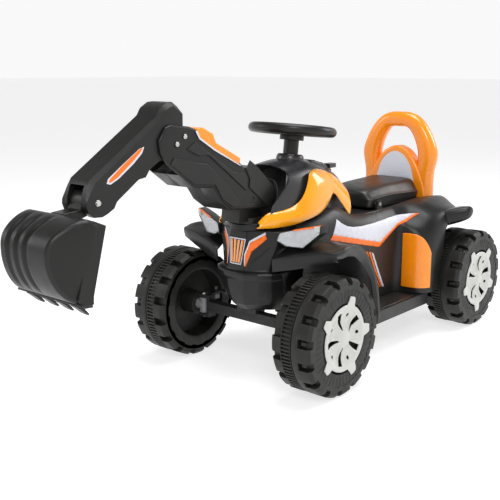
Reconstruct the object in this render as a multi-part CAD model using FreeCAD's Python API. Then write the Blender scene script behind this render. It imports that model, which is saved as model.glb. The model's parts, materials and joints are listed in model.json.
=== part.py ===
"""Battery ride-on quad with a hand-worked digger arm.

The front of the vehicle points along -Y, +X is the rider's left-hand side and +Z is up.
Drawing coordinates have their origin on the ground under the front axle; every solid is
moved by -CENTRE_Y when it is written, so that the origin lies under the middle of the toy.
"""
import FreeCAD
import Part
import math
import os
from FreeCAD import Vector

# Driving dimensions, in millimetres and degrees
CENTRE_Y = 82.0
WHEEL_R = 110.0
WHEEL_W = 85.0
AXLE_Z = 110.0
REAR_Y = 565.0
FRONT_OUT = 222.8
REAR_OUT = 208.6
LUGS = 16
LUG_DEPTH = 10.0
LUG_GAP = 15.0
LUG_LEN = 25.0
CAP_R = 62.0
CAP_DEPTH = 12.0
CAP_TABS = 5
WALL = 4.0
RUN = 0.05
KINGPIN_X = 125.0
KINGPIN_R = 4.0
STEER_ARM = 35.0
TIE_Z = 130.0
TIE_T = 5.0
COLUMN_TILT = 7.0
COLUMN_R = 6.0
STEER_CENTRE = Vector(0, 127, 464)
STEER_R = 78.0
RIM_R = 10.0
TURRET_Y = -8.0
DECK_Z = 286.0
BOOM_PIVOT = Vector(0, -35, 346)
ELBOW = Vector(0, -228.7, 461.6)
BUCKET_PIVOT = Vector(0, -391.5, 383)
BOOM_X = 36.0
STICK_X = 30.0
PIN_R = 5.0
SEAT_HINGE = Vector(0, 345, 296)
SEAT_W = 66.0
SEAT_FRONT_R = 28.0
HANDLE_Y = 545.0
HANDLE_T = 36.0
PAN_Z = 72.0
BOARD_Z = 98.0
BOARD_X = 157.0
BODY_X = 96.0
AXLE_R = 6.0
WHEEL_BORE = 9.0
THRUST_R = 14.0
PEDAL_HINGE = Vector(-128, 300, 104)


def poly_yz(points, x0, x1):
    """Prism of a side outline between two X planes."""
    wire = Part.makePolygon([Vector(x0, y, z) for y, z in points + points[:1]])
    return Part.Face(wire).extrude(Vector(x1 - x0, 0, 0))


def poly_xz(points, y0, y1):
    """Prism of a front outline between two Y planes."""
    wire = Part.makePolygon([Vector(x, y0, z) for x, z in points + points[:1]])
    return Part.Face(wire).extrude(Vector(0, y1 - y0, 0))


def poly_xy(points, z0, z1):
    """Prism of a plan outline between two Z planes."""
    wire = Part.makePolygon([Vector(x, y, z0) for x, y in points + points[:1]])
    return Part.Face(wire).extrude(Vector(0, 0, z1 - z0))


def box(x0, x1, y0, y1, z0, z1):
    """Block between two corners."""
    return Part.makeBox(x1 - x0, y1 - y0, z1 - z0, Vector(x0, y0, z0))


def cyl(radius, start, end):
    """Cylinder between two points."""
    axis = end - start
    return Part.makeCylinder(radius, axis.Length, start, axis)


def cross_pin(radius, centre, half):
    """Cylinder along X, centred on a point."""
    return cyl(radius, centre + Vector(-half, 0, 0), centre + Vector(half, 0, 0))


def mirrored(shape):
    """The same shape on the other side of the middle plane."""
    return shape.mirror(Vector(0, 0, 0), Vector(1, 0, 0))


def symmetric(half):
    """Closed outline from its right-hand half, listed from one end to the other."""
    return half + [(-x, z) for x, z in reversed(half) if x > 0]


def union(shapes):
    """All the shapes as one clean solid."""
    return shapes[0].multiFuse(shapes[1:]).removeSplitter()


def rounded(shape, radius, keep):
    """Fillet of the edges that a test on their middle point picks."""
    edges = [e for e in shape.Edges if keep(e.CenterOfMass)]
    return shape.makeFillet(radius, edges)


def outward(solid):
    """The solid with its faces turned outward."""
    if solid.Volume < 0:
        solid.reverse()
    return solid


def loft_xz(sections):
    """Block under arched outlines that lie in planes across the vehicle."""
    wires = []
    for y, outline in sections:
        points = [Vector(x, y, z) for x, z in outline]
        arch = Part.BSplineCurve()
        arch.interpolate(points)
        wires.append(Part.Wire([arch.toShape(), Part.makeLine(points[-1], points[0])]))
    return outward(Part.makeLoft(wires, True, True))


def loft_xy(rings):
    """Straight-sided block between plan outlines at two or more heights."""
    wires = [Part.makePolygon([Vector(x, y, z) for x, y in ring + ring[:1]]) for z, ring in rings]
    return outward(Part.makeLoft(wires, True, True))


# Wheels ---------------------------------------------------------------------------------

def tyre(outer_x, axle_y, side, lug_turn):
    """Moulded wheel: two rows of lugs, a seam groove and a recess on the inner face."""
    face = outer_x - WHEEL_W
    profile = [(0, WHEEL_BORE), (0, 24), (34, 24), (34, 66), (0, 72), (0, 100), (7, WHEEL_R)]
    profile += [(26, WHEEL_R), (27, 107), (42, 107), (43, 108.5), (45, 108.5), (46, WHEEL_R)]
    profile += [(78, WHEEL_R), (85, 100), (85, 66), (70, 62), (70, WHEEL_BORE)]
    wire = Part.makePolygon([Vector(face + x, r, 0) for x, r in profile + profile[:1]])
    solid = Part.Face(wire).revolve(Vector(0, 0, 0), Vector(1, 0, 0), 360)
    notches = []
    for row, start in ((0, face - 1), (1, outer_x + 1 - LUG_LEN)):
        for index in range(LUGS):
            notch = box(start, start + LUG_LEN, -LUG_GAP / 2, LUG_GAP / 2, WHEEL_R - LUG_DEPTH, WHEEL_R + 5)
            angle = -lug_turn - (index + 0.25 * row) * 360.0 / LUGS
            notch.rotate(Vector(0, 0, 0), Vector(1, 0, 0), angle)
            notches.append(notch)
    solid = solid.cut(Part.makeCompound(notches))
    solid.translate(Vector(0, axle_y, AXLE_Z))
    return solid if side > 0 else mirrored(solid)


def hubcap(outer_x, axle_y, side, turn):
    """Five-armed dished cap that clips into the wheel's outer face."""
    rim = cyl(CAP_R - 0.4, Vector(outer_x - 6, 0, 0), Vector(outer_x + 1, 0, 0))
    dish = Part.makeCone(CAP_R - 6, 26, 14, Vector(outer_x + 1.01, 0, 0), Vector(-1, 0, 0))
    plate = cyl(30, Vector(outer_x - CAP_DEPTH, 0, 0), Vector(outer_x - 6, 0, 0))
    cap = rim.cut(dish)
    spokes = []
    slots = []
    for index in range(CAP_TABS):
        angle = -turn - index * 360.0 / CAP_TABS
        tab = poly_xz([(outer_x + 0.3, CAP_R - 4), (outer_x + 0.3, 78), (outer_x + 2, 78), (outer_x + 3, 74),
                       (outer_x + 2, 58)], -9, 9)
        arm = poly_xz([(outer_x - CAP_DEPTH, 8), (outer_x - 6, 58), (outer_x + 1, 60), (outer_x + 1, 50),
                       (outer_x - 4, 8)], -10, 10)
        hole = cyl(3.5, Vector(outer_x - 30, 0, 42), Vector(outer_x + 10, 0, 42))
        slot = box(outer_x - 30, outer_x + 10, -7, 7, 26, 50)
        for piece, angle_of in ((tab, angle), (arm, angle), (hole, angle), (slot, angle + 36)):
            piece.rotate(Vector(0, 0, 0), Vector(1, 0, 0), angle_of)
        spokes += [tab, arm]
        slots += [hole, slot]
    dome = Part.makeSphere(14, Vector(outer_x - 11, 0, 0))
    dome = dome.common(cyl(20, Vector(outer_x - 11, 0, 0), Vector(outer_x + 10, 0, 0)))
    cap = union([cap, plate, dome] + spokes).cut(Part.makeCompound(slots))
    cap.translate(Vector(0, axle_y, AXLE_Z))
    return cap if side > 0 else mirrored(cap)


def knuckle(side):
    """Steering knuckle: kingpin boss, steering arm and the foot of the stub axle."""
    boss = cyl(10, Vector(KINGPIN_X, 0, 94), Vector(KINGPIN_X, 0, 125))
    arm = box(KINGPIN_X - 7, KINGPIN_X + 7, 0, STEER_ARM, 116, 125)
    tip = cyl(7, Vector(KINGPIN_X, STEER_ARM, 116), Vector(KINGPIN_X, STEER_ARM, 125))
    stud = cyl(3, Vector(KINGPIN_X, STEER_ARM, 120), Vector(KINGPIN_X, STEER_ARM, 140))
    foot = cyl(11, Vector(KINGPIN_X, 0, AXLE_Z), Vector(KINGPIN_X + 12, 0, AXLE_Z))
    body = union([boss, arm, tip, stud, foot])
    body = body.cut(cyl(KINGPIN_R + RUN, Vector(KINGPIN_X, 0, 60), Vector(KINGPIN_X, 0, 150)))
    return body if side > 0 else mirrored(body)


def stub_axle(side):
    """Front wheel spindle with its washer and nut."""
    start = Vector(KINGPIN_X + 12, 0, AXLE_Z)
    spindle = cyl(WHEEL_BORE - RUN, start, Vector(FRONT_OUT - 15.5, 0, AXLE_Z))
    shoulder = cyl(THRUST_R, start, start + Vector(0.5, 0, 0))
    washer = cyl(THRUST_R, Vector(FRONT_OUT - 14.7, 0, AXLE_Z), Vector(FRONT_OUT - 13.2, 0, AXLE_Z))
    neck = cyl(6, Vector(FRONT_OUT - 16, 0, AXLE_Z), Vector(FRONT_OUT - 12.5, 0, AXLE_Z))
    body = union([spindle, shoulder, neck, washer])
    return body if side > 0 else mirrored(body)


def front_axle_beam():
    """Steel beam with a forked end for each kingpin and a post up to the body."""
    beam = box(-108, 108, -10, 10, 100, 120)
    post = box(-24, 24, -14, 14, 119, 152)
    parts = [beam, post]
    for sign in (-1, 1):
        reach = sorted((sign * 106, sign * 132))
        parts.append(box(reach[0], reach[1], -10, 10, 126, 132))
        parts.append(box(reach[0], reach[1], -10, 10, 87, 93))
        web = sorted((sign * 104, sign * 110))
        parts.append(box(web[0], web[1], -10, 10, 87, 132))
    body = union(parts)
    for sign in (-1, 1):
        foot = Vector(sign * KINGPIN_X, 0, 60)
        body = body.cut(cyl(KINGPIN_R, foot, foot + Vector(0, 0, 100)))
    return body


def kingpins():
    """The two pins on which the knuckles turn, with their heads."""
    pins = []
    for sign in (-1, 1):
        foot = Vector(sign * KINGPIN_X, 0, 84)
        pin = cyl(KINGPIN_R, foot, foot + Vector(0, 0, 51))
        head = cyl(7, Vector(sign * KINGPIN_X, 0, 132), Vector(sign * KINGPIN_X, 0, 135))
        pins.append(pin.fuse(head).removeSplitter())
    return Part.makeCompound(pins)


def tie_rod():
    """Bent flat bar that joins both steering arms to the crank of the column."""
    half = [(0, STEER_ARM - 6), (66, STEER_ARM - 6), (KINGPIN_X, STEER_ARM - 6), (KINGPIN_X + 6, STEER_ARM)]
    crank = crank_point()
    half += [(KINGPIN_X, STEER_ARM + 6), (66, STEER_ARM + 6), (16, 106), (12, crank.y + 8), (0, crank.y + 12)]
    outline = half + [(-x, y) for x, y in reversed(half) if x > 0]
    bar = poly_xy(outline, TIE_Z, TIE_Z + TIE_T)
    window = poly_xy([(-46, STEER_ARM + 8), (46, STEER_ARM + 8), (8, 94), (-8, 94)], TIE_Z - 1, TIE_Z + TIE_T + 1)
    holes = [cyl(3 + RUN, Vector(KINGPIN_X, STEER_ARM, 100), Vector(KINGPIN_X, STEER_ARM, 160))]
    holes.append(cyl(4.5, Vector(-KINGPIN_X, STEER_ARM, 100), Vector(-KINGPIN_X, STEER_ARM, 160)))
    holes.append(cyl(5.5, Vector(0, crank.y, 100), Vector(0, crank.y, 160)))
    return bar.cut(Part.makeCompound([window] + holes))


# Steering -------------------------------------------------------------------------------

def column_axis():
    """Unit vector up the steering column."""
    tilt = math.radians(COLUMN_TILT)
    return Vector(0, math.sin(tilt), math.cos(tilt))


def column_at(z):
    """Point of the column's axis at a height."""
    axis = column_axis()
    return STEER_CENTRE + axis * ((z - STEER_CENTRE.z) / axis.z)


def crank_point():
    """Centre of the crank pin at the foot of the column."""
    return column_at(146) + Vector(0, STEER_ARM, 0)


def steering_column():
    """Steel rod with a crank and a crank pin at its foot."""
    rod = cyl(COLUMN_R, column_at(138), column_at(446))
    foot = column_at(146)
    crank = box(-7, 7, foot.y - 2, foot.y + STEER_ARM + 6, 141, 149)
    pin = cyl(3, foot + Vector(0, STEER_ARM, 2), foot + Vector(0, STEER_ARM, -20))
    return union([rod, crank, pin])


def column_sleeve():
    """Plastic tube that covers the rod between the wheel and the hood."""
    lower = cyl(15, column_at(414.5), column_at(444))
    socket = cyl(24, column_at(444), column_at(453))
    bore = cyl(COLUMN_R, column_at(400), column_at(446))
    return union([lower, socket]).cut(bore)


def steering_wheel():
    """Sports wheel: round rim, three flat arms and a hub with a button well."""
    axis = column_axis()
    rim = Part.makeTorus(STEER_R, RIM_R, STEER_CENTRE, axis)
    hub = cyl(30, STEER_CENTRE - axis * 10.5, STEER_CENTRE + axis * 6)
    arms = [hub, rim]
    for turn in (0, 180, 270):
        arm = box(0, STEER_R, -13, 13, -7, 4)
        arm.rotate(Vector(0, 0, 0), Vector(0, 0, 1), turn)
        arm.rotate(Vector(0, 0, 0), Vector(1, 0, 0), -COLUMN_TILT)
        arm.translate(STEER_CENTRE)
        arms.append(arm)
    well = cyl(18, STEER_CENTRE - axis * 2, STEER_CENTRE + axis * 10)
    return union(arms).cut(well)


def horn_button():
    """Round button in the middle of the wheel."""
    axis = column_axis()
    return cyl(17.7, STEER_CENTRE + axis * 2.2, STEER_CENTRE + axis * 9)


def bearing_bushes():
    """Plastic bearings: two that hold the steering rod and one for the free end of the rear axle."""
    bushes = []
    for z0, z1 in ((216, 226), (400, 409)):
        ring = cyl(14, column_at(z0), column_at(z1))
        bushes.append(ring.cut(cyl(COLUMN_R + RUN, column_at(z0 - 5), column_at(z1 + 5))))
    inner = Vector(-84, REAR_Y, AXLE_Z)
    outer = Vector(-(REAR_OUT - WHEEL_W - 1), REAR_Y, AXLE_Z)
    bushes.append(cyl(15, inner, outer).cut(cyl(AXLE_R, inner, outer)))
    return Part.makeCompound(bushes)


# Digger arm -----------------------------------------------------------------------------

def turret():
    """Swivelling post that carries the boom."""
    disc = cyl(36, Vector(0, TURRET_Y, DECK_Z + 0.3), Vector(0, TURRET_Y, 298))
    drum = cyl(33, Vector(0, TURRET_Y, 298), Vector(0, TURRET_Y, 310))
    post = poly_yz([(-60, 304), (TURRET_Y + 18, 304), (-14, 346), (-20, 361), (-35, 367), (-50, 361), (-56, 346)],
                   -22, 22)
    spigot = cyl(14, Vector(0, TURRET_Y, 262), Vector(0, TURRET_Y, DECK_Z + 1))
    body = union([disc, drum, post.common(cyl(60, Vector(0, TURRET_Y, 300), Vector(0, TURRET_Y, 380))), spigot])
    return body.cut(cross_pin(PIN_R + RUN, BOOM_PIVOT, 60))


def turret_nut():
    """Large nut under the deck that holds the swivel post down."""
    ring = cyl(18, Vector(0, TURRET_Y, 262), Vector(0, TURRET_Y, 268))
    return ring.cut(cyl(14, Vector(0, TURRET_Y, 250), Vector(0, TURRET_Y, 280)))


def boom_outline():
    """Side outline of the boom, from its elbow end round to its rear lobe."""
    return [(-252, 490), (-240, 494), (-198, 489), (-185, 485), (-71, 420), (-59, 408), (-26, 408), (5, 381),
            (27, 360), (24, 346), (3, 327), (-95, 334), (-121, 352), (-142, 380), (-186, 384), (-249, 429),
            (-264, 449), (-267, 470)]


def boom_half(sign):
    """One moulded half of the boom: a side wall and its part of the rim walls."""
    outer = poly_yz(boom_outline(), 0.15 * sign, BOOM_X * sign)
    outer = rounded(outer, 4.0, lambda c: abs(c.x) > BOOM_X - 0.5)
    inner_span = 31.0 * sign
    slot = cyl(52, ELBOW, ELBOW + Vector(inner_span, 0, 0))
    front = poly_yz([(-300, 380), (-300, 540), (ELBOW.y, 540), (ELBOW.y, 380)], 0, inner_span)
    bay = poly_yz([(-82, 322), (-96, 342), (-88, 380), (-60, 396), (-30, 396), (-4, 372), (16, 356), (12, 322)],
                  0, inner_span)
    duct = poly_yz([(-176, 400), (-176, 470), (-86, 418), (-86, 366), (-124, 372), (-138, 392)], 0, inner_span)
    pin = cross_pin(PIN_R, BOOM_PIVOT, 40).fuse(cross_pin(PIN_R, ELBOW, 40))
    return outer.cut(slot).cut(front).cut(bay).cut(duct).cut(pin)


def boom_cover():
    """Raised cap along the top of the boom."""
    side = [(-180, 478), (-76, 418), (-70, 424), (-134, 458), (-140, 471), (-166, 485), (-179, 487)]
    return poly_yz(side, -20, 20).cut(poly_yz(boom_outline(), -BOOM_X, BOOM_X))


def boom_pins():
    """Cross pins of the boom's foot and of the elbow."""
    foot = cross_pin(PIN_R, BOOM_PIVOT, BOOM_X - 1)
    elbow = cross_pin(PIN_R, ELBOW, BOOM_X + 0.5)
    return Part.makeCompound([foot, elbow])


def arm_screws():
    """Pan-head screws beside the elbow pin."""
    screws = []
    for sign in (-1, 1):
        for y, z in ((-210.2, 473.2), (ELBOW.y, ELBOW.z)):
            face = Vector(sign * (BOOM_X + 0.6), y, z)
            head = cyl(4.2, face, face + Vector(sign * 2.0, 0, 0))
            screws.append(head)
    return Part.makeCompound(screws)


def stick_outline():
    """Side outline of the stick, with the tall heel above the elbow."""
    return [(-413, 392), (-408, 407), (-400, 419), (-262, 508), (-254, 520), (-238, 529), (-226, 530), (-214, 522),
            (-208, 512), (-208, 490), (-203, 470), (-206, 452), (-216, 440), (-230, 435), (-262, 437), (-284, 425),
            (-293, 413), (-308, 411), (-354, 381), (-360, 371), (-374, 364), (-384, 360.5), (-400, 361.5),
            (-410, 369), (-414, 380)]


def stick_half(sign):
    """One moulded half of the stick."""
    outer = poly_yz(stick_outline(), 0.15 * sign, STICK_X * sign)
    top = [e for e in outer.Edges if abs(e.CenterOfMass.x) > STICK_X - 0.5 and e.CenterOfMass.y < -210
           and e.CenterOfMass.z > 400 + 0.62 * (e.CenterOfMass.y + 410)]
    outer = outer.makeChamfer(7.0, top)
    slot = cyl(31, BUCKET_PIVOT, BUCKET_PIVOT + Vector(17 * sign, 0, 0))
    mouth = poly_yz([(-430, 340), (-430, 386), (-404, 412), (-391.5, 383), (-370, 340)], 0, 17 * sign)
    hollow = poly_yz([(-350, 396), (-352, 412), (-258, 476), (-240, 466), (-262, 445), (-312, 421)], 0, 26 * sign)
    pins = cross_pin(PIN_R, BUCKET_PIVOT, 60).fuse(cross_pin(PIN_R + RUN, ELBOW, 60))
    return outer.cut(slot).cut(mouth).cut(hollow).cut(pins)


def bucket_pin():
    """Pin through the stick's ears, with its two heads."""
    pin = cross_pin(PIN_R, BUCKET_PIVOT, STICK_X + 0.5)
    heads = cross_pin(4.2, BUCKET_PIVOT, STICK_X + 2.5)
    return pin.fuse(heads).removeSplitter()


def bucket_outline():
    """Side outline of the scoop, from the top of its mouth round the back to the cutting lip."""
    return [(-424, 364), (-446, 371), (-466, 368), (-486, 360), (-502, 349), (-510, 338), (-511, 322), (-510, 307),
            (-506, 292), (-499, 276), (-489, 262), (-474, 250), (-458, 242), (-449, 246)]


def bucket_solid(shrink):
    """Tapered block of the scoop, narrower at its back than at its mouth."""
    block = poly_yz(bucket_outline(), -90, 90)
    plan = [(78 - shrink, -400), (76 - shrink, -452), (58 - shrink, -516), (-58 + shrink, -516),
            (-76 + shrink, -452), (-78 + shrink, -400)]
    return block.common(poly_xy(plan, 200, 400))


def bucket():
    """Open scoop with a flanged mouth, four teeth and the neck that fits in the stick."""
    shell = bucket_solid(0)
    inside = [(-418, 355), (-446, 366.5), (-465, 364), (-484, 356), (-499, 346), (-506, 336), (-507, 322),
              (-506, 308), (-502, 294), (-495, 279), (-486, 266), (-472, 254.5), (-457, 247), (-440, 236)]
    plan = [(74, -380), (72, -452), (54, -511), (-54, -511), (-72, -452), (-74, -380)]
    shell = shell.cut(poly_yz(inside, -90, 90).common(poly_xy(plan, 200, 400)))
    flange = poly_yz([(-410, 357), (-424, 364), (-436, 366), (-468, 250), (-458, 242), (-448, 246)], -81, 81)
    window = poly_yz([(-380, 350), (-440, 361), (-478, 250), (-430, 240)], -71, 71)
    parts = [shell, flange.cut(window)]
    for index in range(4):
        x = -55 + index * 110 / 3.0
        parts.append(poly_yz([(-466, 246), (-462, 241), (-438, 222), (-452, 246)], x - 8, x + 8))
    neck = poly_yz([(-409, 383), (-444, 371.5), (-446, 366), (-426, 361), (-408, 362), (-391.5, 366), (-377, 383)],
                   -16, 16)
    barrel = cross_pin(18, BUCKET_PIVOT, 16)
    body = union(parts + [neck, barrel])
    return body.cut(cross_pin(PIN_R + RUN, BUCKET_PIVOT, 60))


# Body -----------------------------------------------------------------------------------

def floor_pan():
    """Double-skinned floor with both footboards."""
    half = [(0, 150), (60, 150), (70, 196), (BOARD_X - 20, 196), (BOARD_X, 216), (BOARD_X, 420),
            (BOARD_X - 6, 432), (112, 432), (112, 628), (96, 640), (0, 640)]
    outline = half + [(-x, y) for x, y in reversed(half) if x > 0]
    tray = poly_xy(outline, PAN_Z, BOARD_Z)
    inner = [(0, 156), (56, 156), (66, 200), (BOARD_X - 22, 200), (BOARD_X - 4, 218), (BOARD_X - 4, 418),
             (BOARD_X - 9, 428), (108, 428), (108, 626), (94, 636), (0, 636)]
    hollow = poly_xy(inner + [(-x, y) for x, y in reversed(inner) if x > 0], PAN_Z + WALL, BOARD_Z - WALL)
    ribs = [box(-BOARD_X + 4, BOARD_X - 4, y, y + 3, PAN_Z + 4, BOARD_Z - 2) for y in (260, 320, 380)]
    ribs += [box(x - 1.5, x + 1.5, 156, 636, PAN_Z + 4, BOARD_Z - 2) for x in (-60, 60)]
    ribs += [box(-107, 107, REAR_Y + offset - 2, REAR_Y + offset + 2, PAN_Z, BOARD_Z) for offset in (-30, 30)]
    tray = union([tray.cut(hollow)] + [rib.common(tray) for rib in ribs])
    tray = tray.cut(cross_pin(16.5, Vector(0, REAR_Y, AXLE_Z), 130))
    pads = [box(102, 150, 222, 372, BOARD_Z - 1, BOARD_Z + 2), box(-150, -102, 222, 240, BOARD_Z - 1, BOARD_Z + 2)]
    return union([tray] + pads)


def body_section(inset):
    """Cross-section of the middle of the body: upright sides with a sloping shoulder."""
    return symmetric([(BODY_X - inset, 98.2), (BODY_X - inset, 205), (88 - inset, 262), (76 - inset, 284 - inset),
                      (0, 284 - inset)])


def upper_body():
    """Upper shell: saddle and the bin under the seat."""
    saddle = poly_xz(body_section(0), 118, 600)
    cavity = poly_xz(body_section(WALL), 118 + WALL, 600 - WALL)
    cavity = cavity.cut(box(-200, 200, 100, 700, 60, 98.3))
    shell = saddle.cut(cavity).cut(box(-60, 60, 356, 520, 278, 300))
    floor = box(-62, 62, 354, 522, 226, 230)
    walls = box(-64, 64, 352, 524, 226, 282).cut(box(-60, 60, 356, 520, 220, 300))
    hinge_room = cross_pin(SEAT_FRONT_R + 1.2, SEAT_HINGE, 68)
    shell = union([shell, floor, walls]).cut(hinge_room)
    opening = box(-60, 60, 110, 132, 100, 212)
    return shell.cut(opening).cut(cross_pin(16.5, Vector(0, REAR_Y, AXLE_Z), 100))


def arch_panel(side):
    """Hollow front wall of a rear wheel arch, sloping at its top."""
    flank = poly_xy([(80, 384), (146, 388), (160, 400), (166, 424), (166, 452), (80, 452)], 98.2, 262)
    hollow = poly_xy([(70, 388), (144, 392), (156, 403), (162, 426), (162, 448), (70, 448)], 90, 258)
    slope = poly_xz([(100, 284), (180, 238), (180, 300), (100, 300)], 370, 470)
    inner_slope = poly_xz([(100, 280), (180, 234), (180, 300), (100, 300)], 370, 470)
    body = flank.cut(slope).cut(hollow.cut(inner_slope)).cut(poly_xz(body_section(0), 118, 600))
    return body if side > 0 else mirrored(body)


def rear_fender(side):
    """Tapered mudguard fin over the front half of a rear wheel."""
    profile = [(70, 274), (141, 274), (198, 285), (205, 281), (205, 262), (168, 238), (144, 230), (70, 230)]
    plan = [(70, 448), (148, 460), (205, 503), (205, 530), (160, 596), (70, 604)]
    wing = poly_xz(profile, 440, 610).common(poly_xy(plan, 220, 300))
    body = wing.cut(poly_xz(body_section(0), 100, 600)).cut(box(0, 78, 590, 620, 200, 300)).cut(arch_panel(1))
    return body if side > 0 else mirrored(body)


def front_fender(side):
    """Curved front mudguard that runs down to the footboard."""
    top = [(-5, 246), (20, 257), (60, 263), (86, 260), (127, 236), (163, 191), (178, 143), (187, 98.5)]
    under = [(176, 98.5), (168, 140), (153, 186), (119, 228), (80, 249), (60, 252), (20, 245), (-5, 234)]
    guard = poly_yz(top + under, 82, 192)
    rear = poly_xz([(150, 90), (200, 90), (200, 150)], 120, 200)
    body = guard.cut(rear).cut(poly_xz(body_section(0), 118, 600))
    return body if side > 0 else mirrored(body)


def nose():
    """Front cowl between the wheels, with the deck for the swivel post."""
    bottom = symmetric([(0, -46), (22, -44), (46, -36), (60, -20), (62, 30), (62, 116), (0, 116)])
    top = symmetric([(0, -35), (22, -34), (50, -16), (74, -4), (80, 30), (80, 116), (0, 116)])
    shell = loft_xy(((152.2, bottom), (DECK_Z, top)))
    shell = shell.cut(box(-54, 54, -20, 112, 157, DECK_Z - 6)).cut(box(-24, 24, -28, 0, 240, DECK_Z - 6))
    well = cyl(14 + RUN, Vector(0, TURRET_Y, 240), Vector(0, TURRET_Y, 300))
    column = cyl(22, column_at(100), column_at(340))
    shelf = box(-30, 30, 60, 116, 216, 220)
    rod = cyl(14, column_at(200), column_at(240))
    lower_window = box(-50, 50, 90, 120, 140, 212)
    return union([shell.cut(well).cut(column), shelf.cut(rod)]).cut(lower_window)


def bumper():
    """Pointed bar across the front of the cowl."""
    outer = [(0, -52), (24, -49), (46, -40), (66, -24), (70, -6), (62, -4), (58, -18), (42, -32), (22, -41),
             (0, -43)]
    bar = poly_xy(outer + [(-x, y) for x, y in reversed(outer) if x > 0], 192, 207)
    return rounded(bar, 2.5, lambda c: c.y < -23 and abs(c.z - 199.5) > 7).cut(nose())


def grille():
    """Slotted insert in the face of the cowl."""
    plate = poly_yz([(-36.3, 268), (-39.6, 268), (-43.4, 222), (-40.2, 222)], -19, 19)
    slots = [box(x - 1.6, x + 1.6, -50, -30, 227, 264) for x in (-12, -4, 4, 12)]
    return plate.cut(Part.makeCompound(slots)).cut(nose())


def lamp_outline():
    """Corner points of one headlight's face, as X and Z."""
    return [(74, 270), (90, 262), (121, 260), (151, 289), (153, 303), (120, 297), (79, 286)]


def lamp_prism(front, depth):
    """Prism behind the slanting plane of the headlight's face."""
    ring = [Vector(x, front + (x - 76) * 0.33, z) for x, z in lamp_outline()]
    return Part.Face(Part.makePolygon(ring + ring[:1])).extrude(Vector(0, depth, 0))


def lamp_housing(side):
    """Black bowl of a headlight, blended back into the fender."""
    body = lamp_prism(-7, 44).cut(front_fender(1)).cut(nose())
    return body if side > 0 else mirrored(body)


def lamp_lens(side):
    """Clear cover of a headlight."""
    body = lamp_prism(-10, 2.8)
    return body if side > 0 else mirrored(body)


def dome_sections(grow):
    """Cross-sections of the hood from its nose to the dashboard."""
    rows = [(-36, 56, 392), (0, 62, 398), (40, 67, 404), (75, 74, 409), (110, 76, 411), (140, 74, 408), (170, 68, 401),
            (205, 62, 389), (240, 57, 370), (262, 54, 356)]
    low = DECK_Z
    sections = []
    for y, half, high in rows:
        half += grow
        high += grow
        rise = high - low
        right = [(half * 0.98, low), (half, low + rise * 0.35), (half * 0.86, low + rise * 0.72),
                 (half * 0.5, high - rise * 0.05)]
        left = [(-x, z) for x, z in reversed(right)]
        sections.append((y, right + [(0, high)] + left))
    return sections


def swing_room():
    """Space that the rear of the boom sweeps as it swivels and tilts."""
    wide = cyl(57, Vector(0, TURRET_Y, 280), Vector(0, TURRET_Y, 392))
    upper = cyl(46, Vector(0, TURRET_Y, 391), Vector(0, TURRET_Y, 440))
    return wide.fuse(upper)


def fairing_outline():
    """Side outline of the orange band."""
    return [(-34, 292), (-30, 306), (-15, 320), (10, 322), (43, 330), (60, 343), (78, 368), (92, 387), (116, 391),
            (168, 380), (215, 362), (240, 345), (246, 300), (242, 288), (224, 288), (206, 306), (186, 326),
            (168, 334), (150, 326), (122, 310), (60, 300), (0, 293)]


def hood():
    """Domed cover behind the arm, scooped out for the boom's heel."""
    dome = loft_xz(dome_sections(0))
    dome = dome.cut(box(-100, 100, -60, 330, 270, DECK_Z + 0.3)).cut(swing_room())
    dome = dome.cut(box(-100, 100, -60, -14, 280, 420)).cut(box(-100, 100, 246, 330, 280, 420))
    core = loft_xz([(y + 0.01, [(x * 0.93, z - 5) for x, z in ring]) for y, ring in dome_sections(0)])
    dome = dome.cut(core.common(box(-100, 100, 54, 240, 280, 420)))
    bore = cyl(14, column_at(280), column_at(430))
    return dome.cut(bore).cut(box(17, 35, 208, 234, 368, 420))


def fairing():
    """Orange band round both sides of the hood, with a tail that reaches the seat."""
    skin = loft_xz(dome_sections(7.0)).cut(loft_xz(dome_sections(0.6)))
    return skin.common(poly_yz(fairing_outline(), -100, 100).cut(box(-30, 30, -60, 330, 280, 420)))


# Seat and rear --------------------------------------------------------------------------

def seat_lid():
    """Saddle-shaped lid, rounded at its front end where it is hinged."""
    side = [(348, 325), (420, 329), (470, 332), (510, 330), (519, 322), (521, 290), (514, 284.4), (348, 284.4)]
    block = poly_yz(side, -SEAT_W, SEAT_W)
    nose_end = cross_pin(SEAT_FRONT_R, SEAT_HINGE, SEAT_W)
    body = union([block, nose_end])
    body = rounded(body, 9.0, lambda c: abs(c.x) > SEAT_W - 0.5 and c.z > 320)
    body = body.cut(box(-56, 56, 376, 512, 280, 322))
    body = body.cut(poly_yz([(300, 260), (300, 284.4), (SEAT_HINGE.y - 10, 284.4), (376, 276), (376, 260)], -70, 70))
    return body.cut(cross_pin(4 + RUN, SEAT_HINGE, 90))


def seat_hinge_pin():
    """Pin across the front of the seat."""
    return cross_pin(4, SEAT_HINGE, 74)


def hinge_ears():
    """Two small brackets that hold the seat's pin."""
    ears = []
    for sign in (-1, 1):
        span = sorted((sign * 67, sign * 73))
        ear = poly_yz([(334, 284.2), (356, 284.2), (353, 302), (345, 306), (337, 302)], span[0], span[1])
        ears.append(ear.cut(cross_pin(4, SEAT_HINGE, 90)))
    return Part.makeCompound(ears)


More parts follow.
